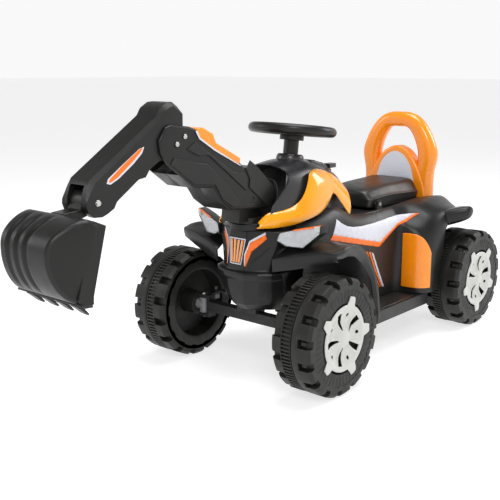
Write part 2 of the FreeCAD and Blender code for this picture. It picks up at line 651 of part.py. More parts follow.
def backrest():
    """Arched push handle with a solid lower panel."""
    outer = symmetric([(92, 284.3), (92, 330), (97, 372), (99, 392), (92, 428), (74, 464), (48, 482), (0, 487)])
    window = symmetric([(53, 380), (52, 396), (44, 424), (30, 444), (0, 450)])
    crown = [(53, 376), (40, 396), (20, 408), (0, 411), (-20, 408), (-40, 396), (-53, 376)]
    back, front = HANDLE_Y + HANDLE_T / 2, HANDLE_Y - HANDLE_T / 2
    frame = poly_xz(outer, front, back)
    frame = rounded(frame, 14.0, lambda c: abs(abs(c.y - HANDLE_Y) - HANDLE_T / 2) < 0.1 and c.z > 300)
    arch = poly_xz(crown, front + 3, back - 3)
    return frame.cut(poly_xz(window, front - 1, back + 1)).fuse(arch).removeSplitter()


def insert_panel(side):
    """Glossy panel on the front of the rear wheel arch."""
    ring = [(98, 379.8), (146, 383.8), (162.5, 397.5), (170, 423), (170, 434), (166.2, 434), (166.2, 424),
            (160.2, 399.8), (146, 387.8), (98, 383.8)]
    panel = poly_xy(ring, 112, 240)
    body = panel.cut(arch_panel(1))
    return body if side > 0 else mirrored(body)


def battery():
    """Sealed battery on the floor of the body."""
    case = box(-48, 48, 250, 340, 98.4, 196)
    posts = [cyl(5, Vector(x, 268, 196), Vector(x, 268, 203)) for x in (-28, 28)]
    return union([case] + posts)


def gearbox():
    """Rear drive: gear case round the axle with its motor."""
    case = box(48, 84, REAR_Y - 60, REAR_Y + 30, 98.4, 178)
    motor = cyl(19, Vector(48, REAR_Y - 34, 150), Vector(-22, REAR_Y - 34, 150))
    spigot = cyl(15, Vector(84, REAR_Y, AXLE_Z), Vector(REAR_OUT - WHEEL_W - 1, REAR_Y, AXLE_Z))
    body = union([case, motor, spigot])
    return body.cut(cross_pin(AXLE_R, Vector(0, REAR_Y, AXLE_Z), 200))


def rear_axle():
    """Steel rod on which both rear wheels turn, with washers and nuts."""
    centre = Vector(0, REAR_Y, AXLE_Z)
    rod = cross_pin(AXLE_R, centre, REAR_OUT - 12)
    parts = [rod]
    for sign in (-1, 1):
        inner = Vector(sign * (REAR_OUT - WHEEL_W - 0.5), REAR_Y, AXLE_Z)
        outer = Vector(sign * (REAR_OUT - 15.5), REAR_Y, AXLE_Z)
        parts.append(cyl(WHEEL_BORE - RUN, inner, outer))
        nut = Vector(sign * (REAR_OUT - 14.5), REAR_Y, AXLE_Z)
        parts.append(cyl(THRUST_R, nut, nut + Vector(sign * 1.5, 0, 0)))
    return union(parts)


def pedal():
    """Foot pedal on the right-hand footboard."""
    plate = poly_yz([(PEDAL_HINGE.y + 4, 106), (PEDAL_HINGE.y + 2, 110), (PEDAL_HINGE.y - 52, 124),
                     (PEDAL_HINGE.y - 56, 120), (PEDAL_HINGE.y - 6, 104)], -146, -110)
    boss = cross_pin(5, PEDAL_HINGE, 18)
    return union([plate, boss]).cut(cross_pin(2 + RUN, PEDAL_HINGE, 40))


def pedal_pin():
    """Pin and feet of the pedal."""
    pin = cross_pin(2, PEDAL_HINGE, 25)
    feet = [box(PEDAL_HINGE.x + x, PEDAL_HINGE.x + x + 5, PEDAL_HINGE.y - 5, PEDAL_HINGE.y + 5, BOARD_Z, 108)
            for x in (-25, 20)]
    return union([pin] + feet)


def dash_switch():
    """Forward and reverse rocker on the dashboard."""
    return box(18, 34, 210, 232, 383, 392)


def place(name, shape):
    """Write one node, shifted so that the origin is under the middle of the toy."""
    copy = shape.copy()
    copy.translate(Vector(0, -CENTRE_Y, 0))
    copy.exportStep("parts/" + name + ".step")
    print(name, copy.isValid(), len(copy.Solids), round(copy.Volume / 1000.0, 1), copy.BoundBox)


def main():
    """Build every sub-part of the toy."""
    os.makedirs("parts", exist_ok=True)
    wheels = (("front_left", FRONT_OUT, 0, 1, 7, 15), ("front_right", FRONT_OUT, 0, -1, 7, 15),
              ("rear_left", REAR_OUT, REAR_Y, 1, 3, 39), ("rear_right", REAR_OUT, REAR_Y, -1, 3, 39))
    for name, outer_x, axle_y, side, lug_turn, cap_turn in wheels:
        place("wheel_" + name, tyre(outer_x, axle_y, side, lug_turn))
        place("hubcap_" + name, hubcap(outer_x, axle_y, side, cap_turn))
    for name, side in (("left", 1), ("right", -1)):
        place("knuckle_" + name, knuckle(side))
        place("stub_axle_" + name, stub_axle(side))
        place("front_fender_" + name, front_fender(side))
        place("lamp_housing_" + name, lamp_housing(side))
        place("lamp_lens_" + name, lamp_lens(side))
        place("arch_panel_" + name, arch_panel(side))
        place("rear_fender_" + name, rear_fender(side))
        place("insert_panel_" + name, insert_panel(side))
        place("boom_half_" + name, boom_half(side))
        place("stick_half_" + name, stick_half(side))
    singles = (front_axle_beam, kingpins, tie_rod, steering_column, column_sleeve, steering_wheel, horn_button,
               bearing_bushes, turret, turret_nut, boom_cover, boom_pins, arm_screws, bucket_pin, bucket,
               floor_pan, upper_body, nose, bumper, grille, hood, fairing, seat_lid, seat_hinge_pin, hinge_ears,
               backrest, battery, gearbox, rear_axle, pedal, pedal_pin, dash_switch)
    for build in singles:
        place(build.__name__, build())


main()
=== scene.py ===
"""Looks of the ride-on quad with a digger arm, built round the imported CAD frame.

Lengths are written in millimetres from the ground under the front axle, with -Y forward and +X to the
rider's left; place() turns them into metres in the frame.
"""
import json
import math

import bmesh
import bpy
from mathutils import Matrix, Vector
from mathutils.bvhtree import BVHTree

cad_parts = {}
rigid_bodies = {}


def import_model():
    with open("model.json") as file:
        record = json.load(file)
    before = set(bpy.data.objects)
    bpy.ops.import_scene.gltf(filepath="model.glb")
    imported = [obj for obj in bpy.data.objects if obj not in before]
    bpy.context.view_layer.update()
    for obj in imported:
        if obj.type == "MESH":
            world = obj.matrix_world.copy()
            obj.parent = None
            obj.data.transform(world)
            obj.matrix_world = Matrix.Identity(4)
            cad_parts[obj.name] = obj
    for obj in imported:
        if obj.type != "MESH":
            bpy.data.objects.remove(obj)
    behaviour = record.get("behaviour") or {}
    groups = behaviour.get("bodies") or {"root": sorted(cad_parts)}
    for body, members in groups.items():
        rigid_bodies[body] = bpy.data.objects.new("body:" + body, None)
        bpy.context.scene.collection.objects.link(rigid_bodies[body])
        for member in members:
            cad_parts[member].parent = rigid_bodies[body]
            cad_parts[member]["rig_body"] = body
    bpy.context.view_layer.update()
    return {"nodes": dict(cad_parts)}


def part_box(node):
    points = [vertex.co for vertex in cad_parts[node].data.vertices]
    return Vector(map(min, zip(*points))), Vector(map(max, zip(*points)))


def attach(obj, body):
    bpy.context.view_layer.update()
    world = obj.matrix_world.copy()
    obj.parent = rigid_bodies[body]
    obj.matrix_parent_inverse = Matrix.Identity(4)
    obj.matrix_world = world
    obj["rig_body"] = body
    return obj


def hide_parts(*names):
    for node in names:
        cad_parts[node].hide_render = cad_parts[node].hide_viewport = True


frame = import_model()

MM = 0.001
WHEEL_LOW, WHEEL_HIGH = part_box("wheel_front_left")
AXLE_Y = (WHEEL_LOW.y + WHEEL_HIGH.y) / 2
WHEEL_R = (WHEEL_HIGH.z - WHEEL_LOW.z) / 2 / MM
WHEEL_W = (WHEEL_HIGH.x - WHEEL_LOW.x) / MM
SIDES = ((1, "left"), (-1, "right"))
COLUMN_LEAN = math.radians(7)


def place(x, y, z):
    """Point of the frame, in metres, from drawing millimetres."""
    return Vector((x * MM, y * MM + AXLE_Y, z * MM))


# --- materials

def shader(name):
    """New node material and its main shader."""
    mat = bpy.data.materials.new(name)
    mat.use_nodes = True
    return mat, mat.node_tree, mat.node_tree.nodes["Principled BSDF"]


def noise(tree, scale, detail=3.0, rough=0.5):
    """Noise texture in the object's own coordinates."""
    coords = tree.nodes.new("ShaderNodeTexCoord")
    tex = tree.nodes.new("ShaderNodeTexNoise")
    tex.inputs["Scale"].default_value = scale
    tex.inputs["Detail"].default_value = detail
    tex.inputs["Roughness"].default_value = rough
    tree.links.new(coords.outputs["Object"], tex.inputs["Vector"])
    return tex.outputs["Fac"]


def ranged(tree, value, low, high, start=0.3, end=0.7):
    """Value stretched from one range to another."""
    node = tree.nodes.new("ShaderNodeMapRange")
    node.inputs["From Min"].default_value = start
    node.inputs["From Max"].default_value = end
    node.inputs["To Min"].default_value = low
    node.inputs["To Max"].default_value = high
    tree.links.new(value, node.inputs["Value"])
    return node.outputs["Result"]


def mixed(tree, factor, first, second):
    """Colour mix of two constants by a factor."""
    node = tree.nodes.new("ShaderNodeMix")
    node.data_type = "RGBA"
    node.inputs["A"].default_value = (*first, 1)
    node.inputs["B"].default_value = (*second, 1)
    tree.links.new(factor, node.inputs["Factor"])
    return node.outputs["Result"]


def plastic(name, colour, rough, grain=900.0, bump=0.15, drift=0.12, edge=0.25, coat=0.0, coat_rough=0.05,
            specular=0.5):
    """Moulded plastic: colour drift, fine grain, uneven gloss and paler edges, partly rubbed wear and partly painted
    highlight.
    """
    mat, tree, bsdf = shader(name)
    drift_mask = ranged(tree, noise(tree, 14.0), 0.0, 1.0)
    darker = [c * (1 - drift) for c in colour]
    lighter = [min(1.0, c * (1 + drift)) for c in colour]
    base = mixed(tree, drift_mask, darker, lighter)
    geometry = tree.nodes.new("ShaderNodeNewGeometry")
    # Convex edges lightened by pointiness: partly rubbed wear, partly a painted highlight on edges that catch the
    # light.
    worn_and_highlit_edge = ranged(tree, geometry.outputs["Pointiness"], 0.0, edge, 0.505, 0.58)
    pale = tree.nodes.new("ShaderNodeMix")
    pale.data_type = "RGBA"
    pale.inputs["B"].default_value = (*[min(1.0, c * 1.6 + 0.05) for c in colour], 1)
    tree.links.new(worn_and_highlit_edge, pale.inputs["Factor"])
    tree.links.new(base, pale.inputs["A"])
    tree.links.new(pale.outputs["Result"], bsdf.inputs["Base Color"])
    tree.links.new(ranged(tree, noise(tree, 60.0), rough * 0.85, rough * 1.15), bsdf.inputs["Roughness"])
    node = tree.nodes.new("ShaderNodeBump")
    node.inputs["Strength"].default_value = bump
    node.inputs["Distance"].default_value = 0.0004
    tree.links.new(noise(tree, grain, 2.0), node.inputs["Height"])
    tree.links.new(node.outputs["Normal"], bsdf.inputs["Normal"])
    bsdf.inputs["Specular IOR Level"].default_value = specular
    bsdf.inputs["Coat Weight"].default_value = coat
    bsdf.inputs["Coat Roughness"].default_value = coat_rough
    return mat


def metal(name, colour, rough):
    """Zinc-plated steel with fine streaks."""
    mat, tree, bsdf = shader(name)
    bsdf.inputs["Metallic"].default_value = 1.0
    streak = noise(tree, 220.0, 4.0)
    base = mixed(tree, ranged(tree, streak, 0.0, 1.0), [c * 0.82 for c in colour], colour)
    tree.links.new(base, bsdf.inputs["Base Color"])
    tree.links.new(ranged(tree, noise(tree, 40.0), rough * 0.7, rough * 1.4), bsdf.inputs["Roughness"])
    return mat


def clear_lens(name):
    """Clear moulded lamp cover with shallow flutes, thin enough to see straight through."""
    mat, tree, bsdf = shader(name)
    bsdf.inputs["Base Color"].default_value = (0.95, 0.97, 1.0, 1)
    bsdf.inputs["Roughness"].default_value = 0.04
    bsdf.inputs["Specular IOR Level"].default_value = 0.8
    tree.links.new(ranged(tree, noise(tree, 70.0, 1.0), 0.10, 0.26), bsdf.inputs["Alpha"])
    node = tree.nodes.new("ShaderNodeBump")
    node.inputs["Strength"].default_value = 0.25
    node.inputs["Distance"].default_value = 0.0005
    tree.links.new(noise(tree, 90.0, 1.0), node.inputs["Height"])
    tree.links.new(node.outputs["Normal"], bsdf.inputs["Normal"])
    return mat


def glow(mat, strength):
    """Light of the material's own, as from a lit backdrop."""
    bsdf = mat.node_tree.nodes["Principled BSDF"]
    bsdf.inputs["Emission Color"].default_value = (1, 1, 1, 1)
    bsdf.inputs["Emission Strength"].default_value = strength


def make_materials():
    """Every material by name."""
    return {
        "body": plastic("body_plastic", (0.0105, 0.0104, 0.0102), 0.33, bump=0.10, edge=0.12, specular=0.34),
        "arm": plastic("arm_plastic", (0.0095, 0.0092, 0.0088), 0.38, bump=0.12, edge=0.14, specular=0.32),
        "tyre": plastic("tyre_plastic", (0.0120, 0.0116, 0.0108), 0.46, bump=0.18, edge=0.18, specular=0.32),
        "hood": plastic("hood_plastic", (0.020, 0.020, 0.0225), 0.30, bump=0.03, edge=0.08, coat=0.2,
                        coat_rough=0.2),
        "seat": plastic("seat_plastic", (0.014, 0.0135, 0.013), 0.38, grain=500.0, bump=0.2, edge=0.12),
        "orange": plastic("orange_gloss", (0.98, 0.27, 0.002), 0.26, grain=260.0, bump=0.02, drift=0.05,
                          edge=0.1, coat=0.55, coat_rough=0.04),
        "amber": plastic("amber_gloss", (0.98, 0.37, 0.002), 0.20, grain=260.0, bump=0.02, drift=0.05,
                         edge=0.08, coat=0.8, coat_rough=0.04),
        "white": plastic("hubcap_white", (0.56, 0.56, 0.535), 0.34, bump=0.05, drift=0.02, edge=0.1, coat=0.2),
        "decal_white": plastic("decal_white", (0.66, 0.67, 0.74), 0.27, grain=300.0, bump=0.02, drift=0.03,
                               edge=0.0),
        "decal_orange": plastic("decal_orange", (0.98, 0.17, 0.006), 0.32, grain=300.0, bump=0.02, drift=0.05,
                                edge=0.0),
        # Matte near-black: plain black on the axle beam, painted shade in the scoop, behind the grille bars and in the
        # skid recesses, and painted dark reflections on lamp facets.
        "dark": plastic("matte_black_and_painted_shade", (0.010, 0.010, 0.010), 0.6, bump=0.2, edge=0.1),
        "grey": plastic("gear_grey", (0.16, 0.16, 0.165), 0.5, bump=0.2),
        "nylon": plastic("nylon_natural", (0.70, 0.68, 0.60), 0.45, bump=0.1),
        # Pale grey base on the lamp bowl, whose real mirror surface shows the white studio: painted reflection.
        "reflector": plastic("lamp_bowl_painted_reflection", (0.46, 0.48, 0.50), 0.15, bump=0.02, drift=0.04, edge=0.0),
        "steel": metal("zinc_steel", (0.62, 0.62, 0.60), 0.3),
        "lens": clear_lens("lamp_lens_clear"),
    }


# --- mesh tools

def add_object(name, verts, faces, mat, sharp=35.0):
    """Mesh object with outward normals and sharp edges above an angle."""
    mesh = bpy.data.meshes.new(name)
    mesh.from_pydata([tuple(v) for v in verts], [], faces)
    bm = bmesh.new()
    bm.from_mesh(mesh)
    bmesh.ops.remove_doubles(bm, verts=bm.verts, dist=1e-6)
    bmesh.ops.recalc_face_normals(bm, faces=bm.faces)
    bm.to_mesh(mesh)
    bm.free()
    mesh.shade_smooth()
    mesh.set_sharp_from_angle(angle=math.radians(sharp))
    obj = bpy.data.objects.new(name, mesh)
    bpy.context.scene.collection.objects.link(obj)
    mesh.materials.append(mat)
    return obj


def modify(obj, kind, **settings):
    """Modifier with its settings."""
    modifier = obj.modifiers.new(kind.lower(), kind)
    for key, value in settings.items():
        setattr(modifier, key, value)
    return modifier


def bevel(obj, width, segments=2, angle=32.0):
    """Rounded edges above an angle."""
    modify(obj, "BEVEL", width=width * MM, segments=segments, limit_method="ANGLE",
           angle_limit=math.radians(angle), harden_normals=False)
    return obj


def bake(obj):
    """Modifiers turned into real geometry, with shading set again."""
    graph = bpy.context.evaluated_depsgraph_get()
    mesh = bpy.data.meshes.new_from_object(obj.evaluated_get(graph))
    obj.modifiers.clear()
    obj.data = mesh
    mesh.shade_smooth()
    mesh.set_sharp_from_angle(angle=math.radians(38))
    return obj


def mirror_x(obj, name):
    """Copy of an object on the other side of the middle plane."""
    mesh = obj.data.copy()
    mesh.transform(Matrix.Scale(-1, 4, Vector((1, 0, 0))))
    mesh.flip_normals()
    twin = bpy.data.objects.new(name, mesh)
    bpy.context.scene.collection.objects.link(twin)
    for source in obj.modifiers:
        copy = twin.modifiers.new(source.name, source.type)
        for prop in source.bl_rna.properties:
            if not prop.is_readonly and prop.identifier not in ("name", "type"):
                setattr(copy, prop.identifier, getattr(source, prop.identifier))
    return twin


def pair(left, name, node):
    """Left piece and its mirror twin, both on the root body and each in place of its own CAD node."""
    for piece, side in ((left, "left"), (mirror_x(left, name), "right")):
        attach(piece, "root")
        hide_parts(f"{node}_{side}")


def placed(points):
    """Frame points of several drawing points."""
    return [place(*p) for p in points]


def arch(points, top):
    """Left half of an outline, its top point and the mirrored half, as flat vectors."""
    return [(-x, z, 0) for x, z in points] + [(0, top, 0)] + [(x, z, 0) for x, z in reversed(points)]


def side_plates(name, body, x, depth, outline, mat, width):
    """The same flat plate on both sides of a body that moves in the middle plane."""
    for sign, side in SIDES:
        plate = panel(f"{name}_{side}", [(x * sign, y, z) for y, z in outline], (depth * sign, 0, 0), mat, width)
        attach(plate, body)


def skin(rows, closed=False):
    """Vertices and quads of a grid of points; closed joins the last column to the first."""
    verts = [p for row in rows for p in row]
    width = len(rows[0])
    faces = []
    for r in range(len(rows) - 1):
        for c in range(width if closed else width - 1):
            n = (c + 1) % width
            faces.append((r * width + c, r * width + n, (r + 1) * width + n, (r + 1) * width + c))
    return verts, faces


def tube(rows):
    """Closed block through rings of points, with its two end faces."""
    verts, faces = skin(rows, closed=True)
    width = len(rows[0])
    faces.append(tuple(range(width)))
    faces.append(tuple(range((len(rows) - 1) * width, len(rows) * width)))
    return verts, faces


def block(name, rows, mat, width, segments=2):
    """Closed block through rings of drawing points, with rounded edges."""
    return bevel(add_object(name, *tube([placed(row) for row in rows]), mat), width, segments)


def swept(name, outline, across, mat, width, segments=2):
    """Block with one (y, z) outline at every x in across."""
    return block(name, [[(x, y, z) for y, z in outline] for x in across], mat, width, segments)


def panel(name, points, depth, mat, width=0.6):
    """Flat plate from a ring of drawing points, thickened along a drawing vector."""
    return block(name, [points, [Vector(p) + Vector(depth) for p in points]], mat, width)


def smooth_line(points, steps):
    """Open Catmull-Rom curve through points, ends included."""
    line = [Vector(p) for p in points]
    line = [2 * line[0] - line[1]] + line + [2 * line[-1] - line[-2]]
    out = []
    for i in range(1, len(line) - 2):
        a, b, c, d = line[i - 1:i + 3]
        for s in range(steps):
            t = s / steps
            out.append(0.5 * ((2 * b) + (c - a) * t + (2 * a - 5 * b + 4 * c - d) * t * t
                              + (3 * b - a - 3 * c + d) * t ** 3))
    out.append(line[-2])
    return out


def dressed(node, mat, width=0.8, angle=32.0):
    """Copy of a CAD node with welded, rounded edges, riding on the node's body in its place."""
    source = frame["nodes"][node]
    bm = bmesh.new()
    bm.from_mesh(source.data)
    bmesh.ops.remove_doubles(bm, verts=bm.verts, dist=2e-6)
    bmesh.ops.dissolve_limit(bm, angle_limit=math.radians(0.6), verts=bm.verts, edges=bm.edges)
    mesh = bpy.data.meshes.new(node + "_shell")
    bm.to_mesh(mesh)
    bm.free()
    mesh.shade_smooth()
    mesh.set_sharp_from_angle(angle=math.radians(32))
    obj = bpy.data.objects.new(node + "_shell", mesh)
    bpy.context.scene.collection.objects.link(obj)
    mesh.materials.append(mat)
    if width:
        bevel(obj, width, 2, angle)
    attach(obj, source["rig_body"])
    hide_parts(node)
    return obj


def paint(node, mat):
    """Material of a CAD node that stays as it is."""
    obj = frame["nodes"][node]
    obj.data.materials.clear()
    obj.data.materials.append(mat)


# --- wheels

LUGS = 16
RIBS = 96
LUG_DEPTH = 10.0


def ring_band(section, angles):
    """Closed ring: section(angle) gives (x, radius) points, in drawing millimetres."""
    rows = []
    for angle in angles:
        rows.append([Vector((x, r * math.sin(angle), r * math.cos(angle))) for x, r in section(angle)])
    rows.append(rows[0])
    return skin(rows, closed=True)


def lug_angles(turn):
    """Angles where a row's gaps, and the small block in each gap, start and stop."""
    pitch = 2 * math.pi / LUGS
    angles = []
    for index in range(LUGS):
        centre = turn + index * pitch
        for offset in (-7.9, -7.5, -3.6, -3.2, 3.2, 3.6, 7.5, 7.9):
            angles.append(centre + offset / WHEEL_R)
        rest = pitch - 15.8 / WHEEL_R
        angles += [centre + 7.9 / WHEEL_R + rest * k / 5 for k in (1, 2, 3, 4)]
    return angles


def gap_offset(angle, turn):
    """Distance round the tread, in millimetres, from the middle of the nearest gap."""
    pitch = 2 * math.pi / LUGS
    return abs((angle - turn + pitch / 2) % pitch - pitch / 2) * WHEEL_R


def tyre_mesh(turn):
    """All rings of one wheel, with its outer face towards +X and its inner face at x = 0."""
    radius, deep = WHEEL_R, WHEEL_R - LUG_DEPTH
    verts, faces = [], []

    def add(part):
        offset = len(verts)
        verts.extend(part[0])
        faces.extend([tuple(i + offset for i in face) for face in part[1]])

    def outer_row(angle):
        offset = gap_offset(angle, turn)
        if offset > 7.6:
            top = [(x, radius) for x in (56, 60, 64, 64.5, 75, 75.5)]
            return [(56, 96)] + top + [(79, radius - 0.6), (85, radius - 6), (85, 90)]
        rise = 4.5 if offset < 3.3 else 0.0
        return [(56, 96), (56, radius), (60, radius - 0.3), (60.6, deep), (64.5, deep + rise), (74, deep + rise),
                (75.5, deep), (79, deep - 0.6), (85, deep - 3), (85, 88)]

    def inner_row(angle):
        if gap_offset(angle, turn + math.pi / 2 / LUGS) <= 7.6:
            return [(0, 88), (0, deep - 2), (22.4, deep), (23, radius - 0.3), (24.5, radius), (24.5, 96)]
        return [(0, 90), (0, radius - 6), (6, radius - 0.4), (23, radius), (24.5, radius), (24.5, 96)]

    add(ring_band(outer_row, lug_angles(turn)))
    add(ring_band(inner_row, lug_angles(turn + math.pi / 2 / LUGS)))
    pitch = 2 * math.pi / RIBS
    rib_angles = [pitch * (i + f) for i in range(RIBS) for f in (0.0, 0.1, 0.5, 0.6)]

    def rib_band(angle):
        phase = (angle / pitch) % 1.0
        top = radius - 0.6 if 0.05 < phase < 0.55 else radius - 3.6
        return [(24.5, 96), (24.5, top), (26, top), (41, top), (42.5, top - 0.3), (42.5, 96)]

    add(ring_band(rib_band, rib_angles))
    fine = [2 * math.pi * i / 128 for i in range(128)]
    seam = [(42.5, 96), (42.5, radius - 1.4), (43.2, radius - 0.6), (44.2, radius - 0.6), (45, radius - 2.6),
            (46.2, radius - 2.6), (46.8, radius - 0.6), (49, radius), (56, radius), (56, 96)]
    add(ring_band(lambda angle: seam, fine))

    def face_out(angle):
        lift = 0.8 if math.cos(48 * angle) > 0.5 else 0.0
        return [(60, 97.5), (84, 97.5), (84.2 + lift, 94), (84.2 + lift, 72), (84.2, 66.5), (82, 65), (71, 62.5),
                (70, 60), (70, 9.3), (60, 9.3)]

    add(ring_band(face_out, [2 * math.pi * i / 192 for i in range(192)]))
    face_in = [(12, 99), (0.8, 99), (0, 97), (0, 74), (2, 70), (33, 66), (34, 60), (34, 25), (30, 24), (1, 23),
               (0.2, 21), (0.2, 9.3), (12, 9.3), (40, 9.3), (40, 80), (12, 80)]
    add(ring_band(lambda angle: face_in, fine))
    return verts, faces


def cap_relief(radius, angle, turn):
    """Height of a hubcap's face under its rim, and whether the point lies in an opening."""
    fifth = 2 * math.pi / 5
    from_slot = (angle - turn) % fifth - fifth / 2
    across = abs(radius * math.sin(from_slot))
    slot = 1.4 + max(0.0, radius - 18) * 0.15
    from_tab = (angle - turn + fifth / 2) % fifth - fifth / 2
    to_hole = math.hypot(radius * math.cos(from_tab) - 43, radius * math.sin(from_tab))
    opened = (across < slot and 18 < radius < 51) or to_hole < 3.4
    bowl = 7.5 * math.sin(math.pi * min(1.0, max(0.0, (radius - 11) / 44)))
    height = -bowl
    if 14 < radius < 54:
        fade = min(1.0, (radius - 14) / 6) * min(1.0, (54 - radius) / 4)
        height += fade * 2.6 * math.exp(-((across - slot - 2.4) / 2.6) ** 2)
        height += fade * 1.0 * math.exp(-((to_hole - 5.5) / 2.0) ** 2)
    if radius < 12:
        height += 0.3 + 1.6 * math.cos(math.pi * radius / 24)
    if radius > 60.5:
        height -= (radius - 60.5) * 1.2
    return height, opened


def build_hubcap(node, hub, sign, turn, mats):
    """Dished cap with five wide spokes, five slots, five small holes and five tabs."""
    radii = [0.4] + [1.25 * k for k in range(1, 43)] + [53.5, 54.5, 55.5, 57, 59, 60.5, 61.3, 62]
    steps = 260
    verts, faces = [], []
    for radius in radii:
        for k in range(steps):
            angle = 2 * math.pi * k / steps
            height, opened = cap_relief(radius, angle, turn)
            x = WHEEL_W + 1.0 + height
            verts.append(hub + Vector((x * sign, radius * math.sin(angle), radius * math.cos(angle))) * MM)
    for r in range(len(radii) - 1):
        for k in range(steps):
            middle = (radii[r] + radii[r + 1]) / 2
            if cap_relief(middle, 2 * math.pi * (k + 0.5) / steps, turn)[1]:
                continue
            n = (k + 1) % steps
            faces.append((r * steps + k, r * steps + n, (r + 1) * steps + n, (r + 1) * steps + k))
    faces.append(tuple(range(steps)))
    cap = add_object(node + "_face", verts, faces, mats["white"], 60)
    flip = cap.data.polygons[-1].normal.x * sign < 0
    if flip:
        cap.data.flip_normals()
    modify(cap, "SMOOTH", factor=0.5, iterations=2)
    modify(cap, "SOLIDIFY", thickness=2.2 * MM, offset=-1.0)
    bake(cap)
    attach(cap, node.replace("hubcap", "wheel"))
    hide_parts(node)
    for index in range(5):
        angle = turn + index * 2 * math.pi / 5
        out = Vector((0, math.sin(angle), math.cos(angle)))
        side = Vector((0, math.cos(angle), -math.sin(angle)))
        rows = []
        for radius, half, top in ((58, 13, 1.0), (63, 11.5, 1.2), (69, 9.5, 2.4), (75, 7.5, 2.4), (77, 6, 1.2)):
            flat = half * 0.75
            corners = ((-half, 0.1), (half, 0.1), (half, top - 0.3), (flat, top), (-flat, top), (-half, top - 0.3))
            base = out * radius
            rows.append([hub + (Vector(((WHEEL_W + x) * sign, 0, 0)) + base + side * y) * MM for y, x in corners])
        tab = add_object(f"{node}_tab_{index + 1}", *tube(rows), mats["white"], 50)
        bevel(tab, 0.6)
        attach(tab, node.replace("hubcap", "wheel"))


def build_wheels(mats):
    """Four wheels and their caps."""
    turns = {"front": math.radians(7), "rear": math.radians(3)}
    caps = {"front": math.radians(15), "rear": math.radians(39)}
    for axle in ("front", "rear"):
        for sign, side in SIDES:
            node = f"wheel_{axle}_{side}"
            low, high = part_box(node)
            centre = (low + high) / 2
            inner = low.x if sign > 0 else high.x
            verts, faces = tyre_mesh(turns[axle])
            hub = Vector((inner, centre.y, centre.z))
            points = [hub + Vector((v.x * sign, v.y, v.z)) * MM for v in verts]
            tyre = add_object(f"tyre_{axle}_{side}", points, faces, mats["tyre"], 30)
            bevel(tyre, 0.7, 2, 40)
            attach(tyre, node)
            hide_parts(node)
            build_hubcap(f"hubcap_{axle}_{side}", hub, sign, caps[axle], mats)


# --- digger arm

BUCKET_CENTRE = Vector((-452, 308))


def bucket_half(y):
    """Half width of the bucket, which narrows towards its back."""
    return 76.5 - 17.5 * max(0.0, (-430 - y) / 80.0) ** 1.4


def bucket_inset(y, z, inset):
    """(y, z) point of the bucket's curve moved towards the middle of the bucket."""
    point = Vector((y, z))
    return point - (point - BUCKET_CENTRE).normalized() * inset


